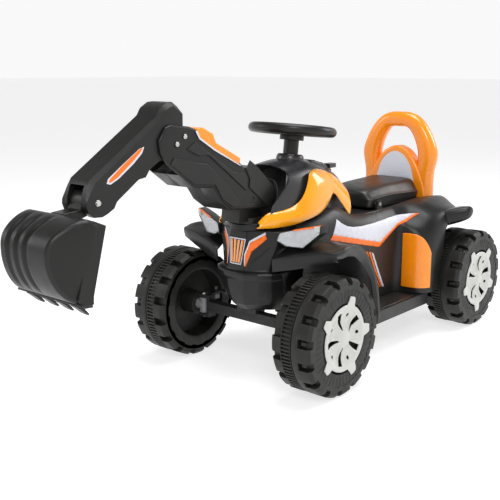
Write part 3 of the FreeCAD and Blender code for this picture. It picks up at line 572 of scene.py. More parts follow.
def build_bucket(mats):
    """Scoop with grooves round its back, a raised side panel, a flange round its mouth, teeth and a neck."""
    outline = [(-430, 362.5), (-446, 370.5), (-466, 367.5), (-486, 359), (-502, 347), (-509.5, 333), (-510.5, 316),
               (-508, 299), (-502, 282), (-493, 267), (-481, 254.5), (-466, 246), (-458, 243)]
    curve = [(p.x, p.y) for p in smooth_line([(y, z, 0) for y, z in outline], 4)]
    rows = []
    across = 60
    grooves = (-0.62, -0.26, 0.10)
    for i in range(across + 1):
        u = -1 + 2 * i / across
        row = []
        for k, (y, z) in enumerate(curve):
            round_off = max(0.0, abs(u) - 0.9) / 0.1
            inset = 4.5 * (1 - math.sqrt(max(0.0, 1 - round_off ** 2)))
            along = k / (len(curve) - 1)
            fade = max(0.0, min(1.0, (along - 0.12) / 0.1)) * max(0.0, min(1.0, (0.84 - along) / 0.12))
            for g in grooves:
                d = (u - g) / 0.11
                if abs(d) < 1:
                    inset += 3.4 * fade * (math.cos(math.pi * d / 2) ** 1.2)
            row.append(place(u * bucket_half(y), *bucket_inset(y, z, inset)))
        rows.append(row)
    verts, faces = skin(rows)
    back = add_object("bucket_back", verts, faces, mats["arm"], 50)
    modify(back, "SOLIDIFY", thickness=3.5 * MM, offset=-1.0)
    bake(back)
    pieces = [back]
    for sign, side_name in SIDES:
        ring = []
        for y, z in curve:
            ring.append(Vector((sign * (bucket_half(y) - 0.2), *bucket_inset(y, z, 4.2))))
        inner_ring = []
        for p in ring:
            shrunk = BUCKET_CENTRE + (Vector((p.y, p.z)) - BUCKET_CENTRE) * 0.93
            inner_ring.append(Vector((p.x + sign * 1.2, shrunk.x, shrunk.y)))
        back_ring = [Vector((p.x - sign * 3.5, p.y, p.z)) for p in ring]
        verts, faces = skin([placed(loop) for loop in (back_ring, ring, inner_ring)], closed=True)
        count = len(ring)
        faces.append(tuple(range(count)))
        faces.append(tuple(range(2 * count, 3 * count)))
        side = add_object(f"bucket_side_{side_name}", verts, faces, mats["arm"], 40)
        pieces.append(bevel(side, 0.8, 2, 25))
    for sign, side_name in SIDES:
        ring = [(sign * 67, -432, 366), (sign * 69, -409, 356), (sign * 78, -444, 256), (sign * 81, -447, 245),
                (sign * 80, -456, 242.5), (sign * 78, -466, 246), (sign * 76, -471, 254)]
        pieces.append(panel(f"bucket_flange_{side_name}", ring, (-sign * 4, 0, 0), mats["arm"], 1.2))
    lip = [(-468, 249), (-447.5, 243.5), (-448.5, 240.5), (-462, 241.5), (-470, 245)]
    pieces.append(swept("bucket_lip", lip, (-80, -40, 0, 40, 80), mats["arm"], 1.0))
    crown = [(-440, 368.8), (-411, 356.5), (-412.5, 353), (-442, 364)]
    pieces.append(swept("bucket_crown", crown, (-67, 0, 67), mats["arm"], 1.0))
    for index in range(4):
        x = -55 + index * 110 / 3
        rows = []
        for y, z, half, t in ((-464, 244, 8, 2), (-456, 238, 9, 2), (-447, 229, 7.5, 1.5), (-440, 223.5, 4.5, 1)):
            rows.append([(x - half, y - t, z - t), (x + half, y - t, z - t), (x + half, y + t, z + t),
                         (x - half, y + t, z + t)])
        pieces.append(block(f"bucket_tooth_{index + 1}", rows, mats["arm"], 1.4, 3))
    neck = [(-408, 384), (-416, 374), (-446, 371.5), (-446, 364), (-412, 360), (-392, 366), (-380, 378)]
    pieces.append(swept("bucket_neck", neck, (-15.8, -8, 0, 8, 15.8), mats["arm"], 1.5))
    rows = []
    for x, radius in ((-16, 17), (-15, 18), (15, 18), (16, 17)):
        turns = [2 * math.pi * k / 40 for k in range(40)]
        rows.append([place(x, -391.5 + radius * math.cos(a), 383 + radius * math.sin(a)) for a in turns])
    pieces.append(add_object("bucket_barrel", *tube(rows), mats["arm"]))
    for piece in pieces:
        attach(piece, "bucket")
    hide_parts("bucket")


def build_arm(mats):
    """Boom and stick shells with their raised panels, decals and screws."""
    for node in ("boom_half_left", "boom_half_right", "stick_half_left", "stick_half_right"):
        dressed(node, mats["arm"], 1.1, 28)
    side_line = [(-183, 480), (-180, 484.5), (-166, 486), (-142, 474), (-135, 458.5), (-71, 426), (-74, 415),
                 (-140, 447.5), (-175, 468)]
    cover = swept("boom_cover_shell", side_line, (-37.2, 37.2), mats["orange"], 1.8, 3)
    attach(cover, "boom")
    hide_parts("boom_cover")
    stripe = [(-185.5, 480), (-177, 467), (-140, 445), (-72, 412.5), (-71.5, 414), (-140, 448.4), (-175, 469.5),
              (-181.5, 481)]
    side_plates("boom_stripe", "boom", 37.0, 0.9, stripe, mats["decal_white"], 0.2)
    lobe = [(-46, 421), (-26, 408), (5, 381), (29, 360), (22, 343), (6, 329), (-48, 371), (-46, 387), (-57, 406)]
    side_plates("boom_heel", "boom", 36.0, 2.4, lobe, mats["arm"], 1.6)
    dressed("turret", mats["arm"], 1.0)
    dressed("boom_pins", mats["arm"], 0.5)
    for node in ("turret_nut", "bucket_pin"):
        dressed(node, mats["steel"], 0.5)
    dressed("arm_screws", mats["steel"], 0.6)
    web = [(-206, 452), (-186, 462), (-92, 404), (-62, 398), (-53, 386), (-56, 366), (-154, 438), (-178, 438)]
    side_plates("boom_web_panel", "boom", 36, 2.2, web, mats["arm"], 1.5)
    low = [(-190, 392), (-244, 430), (-236, 440), (-186, 428), (-158, 424), (-72, 352), (-72, 340), (-92, 340),
           (-118, 356), (-138, 385), (-184, 390)]
    side_plates("boom_low_panel", "boom", 36, 2.2, low, mats["arm"], 1.5)
    lozenge = [(-295, 462), (-300, 452), (-318, 437), (-350, 416), (-366, 409), (-374, 411), (-371, 418),
               (-340, 438), (-306, 459)]
    side_plates("stick_decal_border", "stick", 30, 0.4, lozenge, mats["decal_white"], 0.15)
    fill = [(-298, 461), (-303, 454), (-320, 440.5), (-350, 419.5), (-364, 412.5), (-370, 412.5),
            (-368, 417), (-340, 437), (-307, 458)]
    side_plates("stick_decal", "stick", 30.4, 0.3, fill, mats["decal_orange"], 0.15)


# --- body

def column_ring(name, base, profile, steps, mat, width, body):
    """Turned ring round the leaning steering column: profile is (radius, rise along the column)."""
    rise_y, rise_z = math.sin(COLUMN_LEAN), math.cos(COLUMN_LEAN)
    lean = Vector((0, rise_y, rise_z))
    rows = []
    for radius, rise in profile:
        ring = []
        for k in range(steps):
            a = 2 * math.pi * k / steps
            side = Vector((math.cos(a), math.sin(a) * rise_z, -math.sin(a) * rise_y)) * radius
            ring.append(place(*(Vector(base) + side + lean * rise)))
        rows.append(ring)
    rows.append(rows[0])
    ring = add_object(name, *skin(rows, closed=True), mat, 40)
    bevel(ring, width)
    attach(ring, body)


def build_hood(mats):
    """Dark dome with its scoop and raised rim, and the collar of the column."""
    rows = [(-30, 50, 318), (-12, 57, 372), (12, 62, 396), (40, 67, 404), (75, 71, 409), (110, 72, 411),
            (140, 71, 408), (170, 66, 401), (205, 60, 389), (240, 53, 372), (250, 49, 340)]
    sections = []
    for y, half, high in rows:
        low = 296
        rise = high - low
        right = [(half * 1.0, low), (half * 1.02, low + rise * 0.3), (half * 0.94, low + rise * 0.62),
                 (half * 0.76, low + rise * 0.86), (half * 0.4, low + rise * 0.985)]
        ring = right + [(0, high)] + [(-x, z) for x, z in reversed(right)]
        sections.append([place(x, y, z) for x, z in ring])
    verts, faces = skin(sections)
    dome = add_object("hood_dome", verts, faces, mats["hood"], 60)
    modify(dome, "SUBSURF", levels=3, render_levels=3)
    modify(dome, "SOLIDIFY", thickness=3 * MM, offset=-1.0)
    bake(dome)
    cutter = revolve("scoop_cutter", [(0, 280), (57, 280), (57, 372), (50, 388), (46, 397), (40, 430), (0, 430)],
                     (0, -8), mats["dark"])
    boolean(dome, cutter)
    edge = smooth_line([(-90, 296, 0), (-44, 304, 0), (-14, 326, 0), (16, 350, 0), (42, 372, 0), (50, 388, 0),
                        (40, 403, 0), (26, 420, 0)], 4)
    outline = [(p.x, p.y) for p in edge] + [(-90, 420)]
    verts, faces = tube([[place(x, y, z) for y, z in outline] for x in (-100, 100)])
    boolean(dome, add_object("rim_cutter", verts, faces, mats["dark"]))
    bevel(dome, 2.2, 3, 50)
    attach(dome, "root")
    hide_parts("hood")
    profile = [(56.5, 288), (56.5, 372), (50, 386), (45, 396), (43, 396), (48, 385), (54.5, 371), (54.5, 288),
               (56.5, 288)]
    # The scoop's inner wall is near-black matte: painted shade in the hollow of the scoop.
    liner = revolve("scoop_liner", profile, (0, -8), mats["dark"])
    front = panel("liner_cutter", [(-90, -90, 280), (90, -90, 280), (90, 6, 280), (-90, 6, 280)], (0, 0, 140),
                  mats["dark"], 0.1)
    boolean(liner, front)
    wedge = [(-90, -90, 300), (-90, -20, 300), (-90, 52, 384), (-90, 52, 430), (-90, -90, 430)]
    top = panel("liner_top_cutter", wedge, (180, 0, 0), mats["dark"], 0.1)
    boolean(liner, top)
    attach(liner, "root")
    column_ring("column_collar", (0, 119.5, 405), ((17, 12), (24, 12), (27, 8), (28, 2), (28, -8), (17, -8)), 40,
                mats["hood"], 1.0, "root")
    flare = ((13.5, -24), (15.5, -16), (26, -10), (31, -6), (30, -1.4), (13.5, -1.4))
    column_ring("steering_hub_flare", (0, 127, 464), flare, 48, mats["body"], 1.2, "steering")
    plinth = ((34, 150, 405), (34, 195, 393), (23, 232, 379))
    pad = ((25, 165, 403.5), (27, 195, 396), (19, 226, 383))
    for name, edge, mat in (("dash_plinth", plinth, "hood"), ("dash_pad", pad, "body")):
        ring = [(-edge[0][0], *edge[0][1:])] + list(edge) + [(-x, y, z) for x, y, z in reversed(edge[1:])]
        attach(panel(name, ring, (0, -6, -34), mats[mat], 2.5), "root")


def revolve(name, profile, axis, mat, steps=64):
    """Turned solid about a vertical axis: profile is (radius, z)."""
    rows = []
    for k in range(steps + 1):
        a = 2 * math.pi * k / steps
        rows.append([place(axis[0] + r * math.cos(a), axis[1] + r * math.sin(a), z) for r, z in profile])
    verts, faces = skin(rows)
    return add_object(name, verts, faces, mat)


def boolean(obj, cutter):
    """Material of cutter taken out of obj, and cutter removed."""
    modify(obj, "BOOLEAN", operation="DIFFERENCE", solver="EXACT", object=cutter)
    bake(obj)
    bpy.data.objects.remove(cutter)


def build_fairing(mats):
    """Glossy band on each side of the hood, from its front tip over the knee to its tail."""
    lower = [(46, -38, 293), (66, -4, 292), (82, 30, 295), (90, 60, 301), (91, 92, 306), (88, 122, 314),
             (83, 148, 329), (78, 166, 340), (79, 186, 322), (81, 204, 303), (81, 220, 288)]
    upper = [(45, -32, 304), (54, -12, 321), (64, 14, 323), (71, 43, 329), (78, 62, 344), (76, 80, 367),
             (70, 96, 389), (62, 130, 392), (60, 170, 381), (57, 208, 364), (58, 242, 338)]
    lower = smooth_line(lower, 3)
    upper = smooth_line(upper, 3)
    rows = []
    for a, b in zip(lower, upper):
        row = []
        for t, out in ((0.0, -2.5), (0.04, 0.5), (0.25, 4.5), (0.5, 6.0), (0.75, 4.5), (0.96, 0.8), (1.0, -2.5)):
            p = a.lerp(b, t)
            row.append(place(p.x + out, p.y, p.z))
        rows.append(row)
    verts, faces = skin(rows)
    left = add_object("fairing_left", verts, faces, mats["amber"], 70)
    modify(left, "SOLIDIFY", thickness=3 * MM, offset=-1.0)
    modify(left, "SUBSURF", levels=1, render_levels=1)
    bake(left)
    right = mirror_x(left, "fairing_right")
    for piece in (left, right):
        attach(piece, "root")
    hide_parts("fairing")


def build_fenders(mats):
    """Front mudguards, each a top sheet with a stepped lip, a front skirt and a side skirt."""
    outer = [(193, 13, 258), (195, 34, 261), (191, 62, 262), (188, 90, 257), (185, 112, 246), (183, 128, 233),
             (182, 148, 209), (181, 163, 188), (180, 172, 165), (180, 178, 141), (180, 184, 99)]
    inner = [(70, -21, 236), (78, 34, 262), (82, 62, 270), (84, 94, 264), (88, 114, 252), (92, 130, 238),
             (95, 150, 212), (96, 165, 190), (96, 174, 167), (96, 181, 141), (96, 188, 99)]
    skirt = [12, 15, 17, 18, 19, 17, 14, 12, 11, 11, 8]
    rows = []
    for k, (o, i) in enumerate(zip(outer, inner)):
        o, i = Vector(o), Vector(i)
        along = (Vector(outer[min(len(outer) - 1, k + 1)]) - Vector(outer[max(0, k - 1)])).normalized()
        down = Vector((0, along.z, -along.y)).normalized()
        row = [i, i.lerp(o, 0.34), i.lerp(o, 0.66), i.lerp(o, 0.86) + Vector((0, 0, 1.0)) - down * 1.5,
               i.lerp(o, 0.90) - down * 4.0, i.lerp(o, 0.985) - down * 4.5]
        if k == 0:
            front_edge = ((108, -12, 248), (142, -4, 256), (170, 2, 260), (178, 4, 260), (189, 8, 259.5))
            row[1:6] = [Vector(p) for p in front_edge]
        row += [o + Vector((0, 0, 0.5)) - down * 2.0, o + down * 5.0,
                o + down * (skirt[k] - 3) + Vector((-3, 0, 0)), o + down * skirt[k] + Vector((-5, 0, 0))]
        rows.append(row)
    front = rows[0]
    drops = (24, 28, 27, 22, 20, 17, 15)
    low = [p + Vector((-0.8, 1.5, -d)) for p, d in zip(front, drops)]
    low += [low[6] + Vector((-1.2 * k, 0.6 * k, -0.3)) for k in (1, 2, 3)]
    tucked = [p + Vector((-1.0, 9, -1)) for p in low]
    chamfer = [p.lerp(q, 0.8) + Vector((0.3, -1.2, 0)) for p, q in zip(low, front)]
    columns = [smooth_line(column, 4) for column in zip(*rows)]
    fine = [list(row) for row in zip(*columns)]
    verts, faces = skin([placed(row) for row in [tucked, low, chamfer] + fine])
    left = add_object("front_fender_left_shell", verts, faces, mats["body"], 24)
    modify(left, "SOLIDIFY", thickness=3.2 * MM, offset=-1.0)
    bevel(left, 1.1, 2, 22)
    bake(left)
    pair(left, "front_fender_right_shell", "front_fender")


BODY_STATIONS = (
    (40, (50, 290), (66, 294), (80, 292), (93, 276), (100, 258), (101, 238), (95, 180), (88, 130)),
    (70, (50, 290), (70, 297), (86, 299), (97, 280), (102, 258), (102, 236), (94, 180), (84, 120)),
    (110, (50, 290), (72, 300), (87, 307), (98, 284), (103, 260), (102, 234), (92, 180), (82, 110)),
    (150, (50, 290), (68, 306), (82, 322), (97, 290), (102, 262), (101, 232), (97.5, 180), (97.5, 100)),
    (185, (52, 290), (66, 300), (79, 316), (94, 288), (101, 262), (101, 230), (97.5, 180), (97.5, 99)),
    (225, (54, 286), (68, 289), (79, 289), (92, 276), (100, 256), (101, 226), (97.5, 180), (97.5, 99)),
    (280, (56, 284), (67, 286), (77, 284), (89, 270), (98, 250), (100, 218), (97.5, 170), (97.5, 99)),
    (340, (66, 284), (72, 285), (78, 283), (89, 268), (98, 250), (100, 214), (97.5, 170), (97.5, 99)),
    (374, (68, 284), (74, 286), (80, 284), (91, 270), (100, 252), (101, 214), (97.5, 170), (97.5, 99)),
    (383, (68, 284), (75, 287), (81, 285), (92, 271), (101, 253), (108, 233), (114, 170), (110, 99)),
    (387, (68, 284), (75, 288), (82, 286), (93, 272), (103, 254), (132, 235), (145, 170), (140, 99)),
    (396, (68, 284), (76, 289), (84, 287), (96, 273), (108, 256), (152, 236), (159, 170), (155, 99)),
    (412, (68, 284), (77, 291), (87, 289), (102, 275), (121, 259), (161, 238), (166, 170), (163, 99)),
    (428, (68, 284), (79, 293), (93, 291), (115, 279), (141, 263), (165, 241), (168, 170), (166, 99)),
    (444, (68, 284), (80, 295), (99, 293), (126, 280), (151, 267), (167, 245), (168, 170), (166, 99)),
    (464, (68, 284), (82, 297), (104, 294), (132, 281), (155, 271), (168, 250), (168, 175), (166, 120)),
    (474, (68, 284), (83, 298), (105, 294), (134, 281), (158, 272), (165, 254), (166, 230), (160, 222)),
    (500, (68, 284), (84, 298), (104, 294), (134, 281), (160, 274), (166, 258), (160, 236), (130, 228)),
    (540, (70, 284), (86, 296), (104, 291), (130, 279), (154, 272), (160, 258), (150, 237), (126, 229)),
    (580, (70, 284), (84, 292), (100, 287), (120, 276), (138, 267), (144, 256), (138, 240), (118, 231)),
    (600, (70, 284), (82, 288), (94, 284), (108, 274), (120, 264), (124, 256), (120, 244), (108, 236)),
)


def wrapped(name, outline, step, spot, mat):
    """Thin sticker on a curved face, and its mirror twin: spot(a, b) is the drawing point of an outline point."""
    mesh = bpy.data.meshes.new(name)
    bm = bmesh.new()
    bm.faces.new([bm.verts.new((0, a, b)) for a, b in outline])
    for axis, pitch in ((0, step[0]), (1, step[1])):
        values = [point[axis] for point in outline]
        normal = (0, 1, 0) if axis == 0 else (0, 0, 1)
        for k in range(1, int((max(values) - min(values)) / pitch) + 1):
            place_at = [v * (min(values) + k * pitch) for v in normal]
            geometry = bm.verts[:] + bm.edges[:] + bm.faces[:]
            bmesh.ops.bisect_plane(bm, geom=geometry, plane_co=place_at, plane_no=normal)
    for vert in bm.verts:
        vert.co = place(*spot(vert.co.y, vert.co.z))
    bmesh.ops.recalc_face_normals(bm, faces=bm.faces)
    bm.to_mesh(mesh)
    bm.free()
    mesh.shade_smooth()
    mesh.materials.append(mat)
    left = bpy.data.objects.new(name + "_left", mesh)
    bpy.context.scene.collection.objects.link(left)
    modify(left, "SOLIDIFY", thickness=0.4 * MM, offset=0.0)
    for piece in (left, mirror_x(left, name + "_right")):
        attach(piece, "root")


def flank_decal(name, outline, mat, gap, surface):
    """Sticker on the body's flank, outlined by (y, z) points and laid on the surface under it."""
    def spot(y, z):
        hit = surface.ray_cast(place(400, y, z), Vector((-1, 0, 0)))[0]
        return Vector((hit.x / MM + gap, y, z))

    wrapped(name, outline, (6.0, 5.0), spot, mat)


def build_flanks(mats):
    """Flowing sides of the body with the rear arches, their glossy panels, fins and stickers."""
    rows = []
    for y, *points in BODY_STATIONS:
        rows.append([place(x, y, z) for x, z in points])
    verts, faces = skin(rows)
    left = add_object("body_flank_left", verts, faces, mats["body"], 60)
    modify(left, "SUBSURF", levels=2, render_levels=2)
    modify(left, "SOLIDIFY", thickness=1.4 * MM, offset=-1.0)
    bake(left)
    pair(left, "body_flank_right", "arch_panel")
    fin_rows = []
    for x, y0, y1, low, high in ((138, 470, 596, 230, 271), (156, 476, 580, 236, 275), (176, 486, 556, 243, 280),
                                 (194, 497, 538, 252, 283.5), (202, 503, 531, 257, 284), (205, 507, 526, 262, 281)):
        middle = (low + high) / 2
        ring = ((y0, middle), (y0 + 3, high - 4), (y0 + 12, high), (y1 - 12, high - 1), (y1 - 3, high - 5),
                (y1, middle), (y1 - 4, low + 4), (y1 - 14, low), (y0 + 14, low), (y0 + 4, low + 4))
        fin_rows.append([place(x, y, z) for y, z in ring])
    fin = add_object("rear_fin_left", *tube(fin_rows), mats["body"], 60)
    modify(fin, "SUBSURF", levels=2, render_levels=2)
    bake(fin)
    pair(fin, "rear_fin_right", "rear_fender")
    path = [(112, 379.5, 231), (128, 380.5, 232), (141, 383.5, 231), (152, 388.5, 227), (160, 395, 218),
            (165, 403, 204), (167.5, 410, 190)]
    rows = []
    for x, y, top in smooth_line(path, 4):
        heights = (112, 119, 121, top - 2, top)
        rows.append([place(x, y, z) for z in heights] + [place(x - 2.5, y + 5.5, z) for z in reversed(heights)])
    insert = add_object("arch_insert_left", *tube(rows), mats["orange"], 40)
    bevel(insert, 1.6, 3)
    bake(insert)
    pair(insert, "arch_insert_right", "insert_panel")
    skin_faces = [face.vertices for face in left.data.polygons]
    surface = BVHTree.FromPolygons([v.co for v in left.data.vertices], skin_faces)
    white = [(150, 292), (164, 282), (184, 273), (208, 268), (240, 265), (290, 264), (340, 266), (385, 269),
             (420, 271), (307, 221), (129, 264)]
    flank_decal("side_sticker", white, mats["decal_white"], 0.7, surface)
    border = [(129, 264), (307, 221), (420, 271), (426, 271), (303, 211.5), (118, 255)]
    flank_decal("side_sticker_edge", border, mats["decal_orange"], 0.9, surface)
    for index, (y0, y1, y2, y3) in enumerate(((242, 248, 311, 307), (252, 258, 316, 313), (263, 270, 323, 319))):
        stripe = [(y0, 213 - index * 3), (y1, 212 - index * 3), (y2, 120), (y3, 121)]
        flank_decal(f"leg_stripe_{index + 1}", stripe, mats["decal_orange"], 0.7, surface)
    stripe = [(274, 205), (283, 200), (332, 118), (325, 119)]
    flank_decal("leg_stripe_white", stripe, mats["decal_white"], 0.7, surface)


def build_front(mats):
    """Cowl with its grille, stickers, bumper and skid, and the headlights."""
    levels = (
        (286, ((20, -35), (47, -18), (72, -3), (79, 30))), (270, ((21, -37.5), (48, -20), (71, -5), (77, 28))),
        (222, ((20, -43), (43, -27), (60, -12), (68, 20))), (210, ((19, -44), (41, -29), (57, -15), (66, 18))),
        (207.5, ((24, -50.5), (50, -38), (69, -20), (75, 0))), (203, ((24, -51.5), (51, -39), (70, -21), (76, 0))),
        (196, ((23, -50), (49, -37), (69, -19), (76, 2))), (191, ((21, -45), (46, -33), (66, -15), (75, 5))),
        (176, ((19, -45), (44, -32), (64, -13), (74, 8))), (160, ((17, -42), (41, -28), (61, -9), (72, 12))),
        (142, ((14, -36), (34, -22), (54, -3), (66, 16))), (128, ((9, -22), (26, -10), (46, 6), (58, 22))))
    rows = []
    for z, half in levels:
        start = (0, half[0][1] - 0.8)
        right = list(half) + [(half[-1][0], 60)]
        ring = [start] + right + [(-x, y) for x, y in reversed(right)]
        rows.append([place(x, y, z) for x, y in ring])
    cowl = add_object("front_cowl", *tube(rows), mats["body"], 18)
    bevel(cowl, 1.8, 3, 14)
    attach(cowl, "root")
    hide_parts("nose", "bumper")

    def facet(across, z, lift):
        t = (z - 222) / 64
        line = [Vector((20, -43 + 8 * t, z)), Vector((43 + 4 * t, -27 + 9 * t, z)),
                Vector((60 + 12 * t, -12 + 9 * t, z))]
        index = 0 if across < 1 else 1
        first, second = line[index], line[index + 1]
        normal = Vector((second.y - first.y, first.x - second.x, 0)).normalized()
        return first.lerp(second, across - index) - normal * lift * (1 if normal.y > 0 else -1)

    wing = [(0.02, 219), (0.0, 240), (0.27, 264), (1.15, 280), (1.3, 272), (0.43, 248), (0.12, 219)]
    wrapped("cowl_sticker", wing, (0.25, 8.0), lambda a, z: facet(a, z, 0.9), mats["decal_orange"])
    border = [(0.0, 221), (-0.04, 242), (0.22, 268), (1.12, 284.5), (1.2, 281), (0.28, 264), (0.04, 240),
              (0.05, 221)]
    wrapped("cowl_sticker_edge", border, (0.25, 8.0), lambda a, z: facet(a, z, 1.1), mats["decal_white"])
    crease = [(0.3, 216), (0.55, 226), (1.6, 254), (1.62, 257), (0.5, 229), (0.24, 217)]
    wrapped("cowl_crease", crease, (0.25, 8.0), lambda a, z: facet(a, z, 0.8), mats["body"])
    # Each orange bar has a white strip along its left edge: a painted highlight.
    for index in range(4):
        for name, x_shift, width, mat, lift in (("grille_bar", 0, 2.2, "orange", 1.6),
                                                ("grille_bar_highlight", -2.0, 0.8, "decal_white", 1.7)):
            top_x, low_x = -13.5 + index * 9 + x_shift, -8.4 + index * 5.6 + x_shift * 0.7
            ring = [(top_x - width, -38 - lift, 268), (top_x + width, -38 - lift, 268),
                    (low_x + width * 0.75, -43.6 - lift, 225), (low_x - width * 0.75, -43.6 - lift, 225)]
            piece = panel(f"{name}_{index + 1}", ring, (0, 2.2, 0), mats[mat], 0.4)
            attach(piece, "root")
    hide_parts("grille")
    # Near-black matte sheet behind the bars: painted shade between them.
    ring = [(-19, -38.2, 270), (19, -38.2, 270), (12.5, -44.2, 222), (-12.5, -44.2, 222)]
    back = panel("grille_back", ring, (0, 2, 0), mats["dark"], 0.3)
    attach(back, "root")
    rim = [((-20, 271), (20, 271), (20, 269), (-20, 269)), ((-20, 271), (-18.6, 271), (-12, 222), (-13.2, 222)),
           ((20, 271), (18.6, 271), (12, 222), (13.2, 222)), ((-13, 223.4), (13, 223.4), (13, 221.6), (-13, 221.6))]
    for index, corners in enumerate(rim):
        ring = [(x, -44.4 + (z - 222) * 0.125 - 0.6, z) for x, z in corners]
        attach(panel(f"grille_rim_{index + 1}", ring, (0, 2, 0), mats["decal_white"], 0.2), "root")
    # Near-black plates laid on the skid stand for its recesses: painted shade.
    for sign, side in SIDES:
        recess = [(sign * 22, -42.8, 183), (sign * 60, -17.2, 187), (sign * 51, -15.6, 152), (sign * 43, -24, 147)]
        recess = [(x + sign * 0.8, y - 1.0, z) for x, y, z in recess]
        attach(panel(f"skid_recess_{side}", recess, (sign * -1.5, 1.5, 0), mats["dark"], 0.3), "root")
    build_lamps(mats)


def build_lamps(mats):
    """Two headlights: case, bowl, clear cover, coloured strip, marker lamp and the bowl's facets."""
    outline = [(73, 271), (78, 285.5), (120, 297), (152, 303), (151, 289), (121, 261), (90, 262)]
    middle_x = sum(x for x, z in outline) / len(outline)
    middle_z = sum(z for x, z in outline) / len(outline)
    for sign, side in SIDES:
        def lamp(points, back):
            return [place(sign * x, -11 + (x - 73) * 0.34 + back, z) for x, z in points]

        def rings(*steps):
            made = []
            for scale, back in steps:
                scaled = [(middle_x + (x - middle_x) * scale, middle_z + (z - middle_z) * scale) for x, z in outline]
                made.append(lamp(scaled, back))
            return made

        case = rings((0.9, 26), (1.07, 20), (1.07, 1.5), (1.05, -0.6), (0.99, -0.4), (0.97, 3))
        shell = add_object(f"lamp_case_{side}", *skin(case, True), mats["body"], 40)
        bevel(shell, 0.7)
        inside = rings((0.72, 15), (0.95, 4), (0.99, 1.2))
        bowl = add_object(f"lamp_bowl_{side}", *tube(inside), mats["reflector"], 30)
        front = rings((0.985, 1.0), (0.98, -1.2), (0.9, -2.4))
        cover = add_object(f"lamp_cover_{side}", *tube(front), mats["lens"], 30)
        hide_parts(f"lamp_housing_{side}")
        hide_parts(f"lamp_lens_{side}")
        strip = [(104, 294), (152, 305.5), (153, 302.5), (105, 291)]
        bar = add_object(f"lamp_strip_{side}", *tube([lamp(strip, -2.2), lamp(strip, 0.5)]), mats["decal_orange"])
        marker = [(143, 303), (152, 304), (151.5, 293), (143, 291)]
        block = add_object(f"lamp_marker_{side}", *tube([lamp(marker, -3.2), lamp(marker, 1)]), mats["white"])
        bevel(bar, 0.4)
        bevel(block, 0.4)
        pieces = [shell, bowl, cover, bar, block]
        # Dark and steel facets in the bowl: the dark ones are painted dark reflections of the mirrored bowl.
        facets = ((82, 274, 5, 3), (83, 267.5, 6, 2.4), (100, 268, 6, 2), (112, 280, 9, 7))
        for index, (x, z, w, h) in enumerate(facets):
            ring = [(x - w, z - h), (x + w, z - h + 1), (x + w, z + h), (x - w, z + h - 1)]
            deep = [(a * 0.97 + x * 0.03, b) for a, b in ring]
            mat = mats["dark" if index in (0, 2) else "steel"]
            fleck = add_object(f"lamp_facet_{side}_{index + 1}", *tube([lamp(ring, 2.6), lamp(deep, 9)]), mat)
            pieces.append(bevel(fleck, 0.5))
        for piece in pieces:
            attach(piece, "root")


def build_seat(mats):
    """Saddle with a raised rear lip and a crease round its side."""
    stations = [(317.5, 58, 291, 306, 318), (322, 62, 286, 306, 325), (345, 64, 285, 308, 329),
                (390, 65, 284.6, 311, 333), (440, 66, 284, 309, 334), (480, 67, 286, 308, 335),
                (506, 68, 287, 307, 337), (519, 67, 289, 305, 333),
                (523, 63, 291, 303, 316)]
    rows = []
    for y, half, low, crease, high in stations:
        right = [(half - 5, low), (half - 2, low + 1), (half - 0.5, crease - 6), (half + 1.2, crease - 1.2),
                 (half + 1.4, crease),
                 (half - 3, crease + 2.5), (half - 12, high - 5), (half - 20, high - 1), (half * 0.35, high)]
        ring = right + [(0, high - 0.5)] + [(-x, z) for x, z in reversed(right)]
        rows.append([place(x, y, z) for x, z in ring])
    verts, faces = tube(rows)
    seat = add_object("seat_cushion_lid", verts, faces, mats["seat"], 60)
    modify(seat, "SUBSURF", levels=2, render_levels=2)
    bake(seat)
    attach(seat, "seat_lid")
    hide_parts("seat_lid")


def build_backrest(mats):
    """Arched tube handle with its lower panel and a plain sticker."""
    path = [(71, 285, 18.5), (70, 318, 18.5), (70.5, 350, 19.5), (74.5, 386, 22.5), (67, 415, 21), (54, 440, 19.5),
            (37, 459, 18), (18, 466, 17.5)]
    path = path + [(0, 466.5, 17.5)] + [(-x, z, r) for x, z, r in reversed(path)]
    line = smooth_line(path, 5)
    rows = []
    for k, p in enumerate(line):
        before, after = line[max(0, k - 1)], line[min(len(line) - 1, k + 1)]
        tangent = Vector((after.x - before.x, after.y - before.y)).normalized()
        normal = Vector((tangent.y, -tangent.x))
        ring = []
        for step in range(24):
            a = 2 * math.pi * step / 24
            swell = 1.0 / (abs(math.cos(a)) ** 2.6 + abs(math.sin(a)) ** 2.6) ** (1 / 2.6)
            side = p.z * swell * math.cos(a)
            ring.append(place(p.x + normal.x * side, 545 + 18 * swell * math.sin(a), p.y + normal.y * side))
        rows.append(ring)
    verts, faces = tube(rows)
    handle = add_object("backrest_handle", verts, faces, mats["orange"], 50)
    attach(handle, "root")
    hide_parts("backrest")
    half = [(82, 286), (76, 318), (64, 346), (52, 368), (34, 391), (16, 402)]
    edge = smooth_line(arch(half, 406), 4)
    plate = add_object("backrest_panel", *tube([[place(p.x, y, p.y) for p in edge] for y in (525.0, 556)]),
                       mats["orange"])
    bevel(plate, 5, 4)
    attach(plate, "root")
    half = [(56, 292), (52, 318), (45, 346), (36, 368), (20, 386)]
    sticker = smooth_line(arch(half, 393), 3)
    label = panel("backrest_sticker", [(p.x, 524.8, p.y) for p in sticker], (0, -0.5, 0), mats["decal_white"], 0.2)
    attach(label, "root")


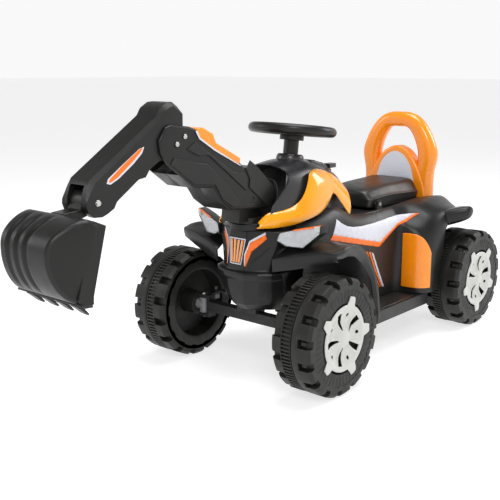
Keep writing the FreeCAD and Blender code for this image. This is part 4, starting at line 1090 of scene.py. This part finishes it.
def studio():
    """Floor, soft lights and the camera."""
    paper = plastic("floor_paper", (0.50, 0.50, 0.50), 0.85, grain=60.0, bump=0.02, drift=0.01, edge=0.0)
    glow(paper, 0.68)
    floor = add_object("studio_floor", [(-40, -40, 0), (40, -40, 0), (40, 40, 0), (-40, 40, 0)], [(0, 1, 2, 3)], paper)
    world = bpy.data.worlds.new("studio_world")
    world.use_nodes = True
    tree = world.node_tree
    coords = tree.nodes.new("ShaderNodeTexCoord")
    split = tree.nodes.new("ShaderNodeSeparateXYZ")
    tree.links.new(coords.outputs["Generated"], split.inputs["Vector"])
    fade = ranged(tree, split.outputs["Z"], 0.95, 0.26, 0.10, 0.55)
    tree.links.new(fade, tree.nodes["Background"].inputs["Strength"])
    tree.nodes["Background"].inputs["Color"].default_value = (1, 1, 1, 1)
    bpy.context.scene.world = world
    lights = (("key_light", (1.9, -1.9, 2.3), 1.0, 34), ("fill_light", (-2.4, -1.6, 1.4), 1.2, 11),
              ("top_light", (0.2, 0.3, 2.6), 1.5, 48), ("back_light", (1.4, 2.6, 1.7), 1.2, 24))
    for name, spot, size, power in lights:
        light = bpy.data.lights.new(name, "AREA")
        light.size = size
        light.energy = power
        lamp = bpy.data.objects.new(name, light)
        lamp.location = spot
        lamp.rotation_euler = (Vector((0, 0, 0.25)) - Vector(spot)).to_track_quat("-Z", "Y").to_euler()
        bpy.context.scene.collection.objects.link(lamp)
    data = bpy.data.cameras.new("camera")
    data.lens = 59.79
    data.sensor_width = 36.0
    camera = bpy.data.objects.new("camera", data)
    camera.location = place(1017.3, -1188.0, 584.5)
    aim = place(0, -2.3, 241.4)
    camera.rotation_euler = (aim - camera.location).to_track_quat("-Z", "Y").to_euler()
    bpy.context.scene.collection.objects.link(camera)
    bpy.context.scene.camera = camera
    bpy.context.scene.view_settings.view_transform = "Standard"


def build_rest(mats):
    """Nodes whose CAD shape stays, with rounded edges where they show."""
    shells = {"front_axle_beam": "dark", "knuckle_left": "grey", "knuckle_right": "grey", "tie_rod": "steel",
              "steering_column": "steel", "column_sleeve": "body", "steering_wheel": "body", "horn_button": "hood",
              "floor_pan": "body", "upper_body": "body", "hinge_ears": "body", "pedal": "grey", "dash_switch": "hood",
              "gearbox": "grey", "battery": "grey"}
    for node, key in shells.items():
        dressed(node, mats[key], 0.8)
    plain = {"kingpins": "steel", "stub_axle_left": "steel", "stub_axle_right": "steel", "bearing_bushes": "nylon",
             "seat_hinge_pin": "steel", "rear_axle": "steel", "pedal_pin": "steel"}
    for node, key in plain.items():
        paint(node, mats[key])


def main():
    """Build every piece."""
    mats = make_materials()
    studio()
    build_wheels(mats)
    build_bucket(mats)
    build_arm(mats)
    build_hood(mats)
    build_fairing(mats)
    build_fenders(mats)
    build_flanks(mats)
    build_front(mats)
    build_seat(mats)
    build_backrest(mats)
    build_rest(mats)
    bpy.context.view_layer.update()


main()
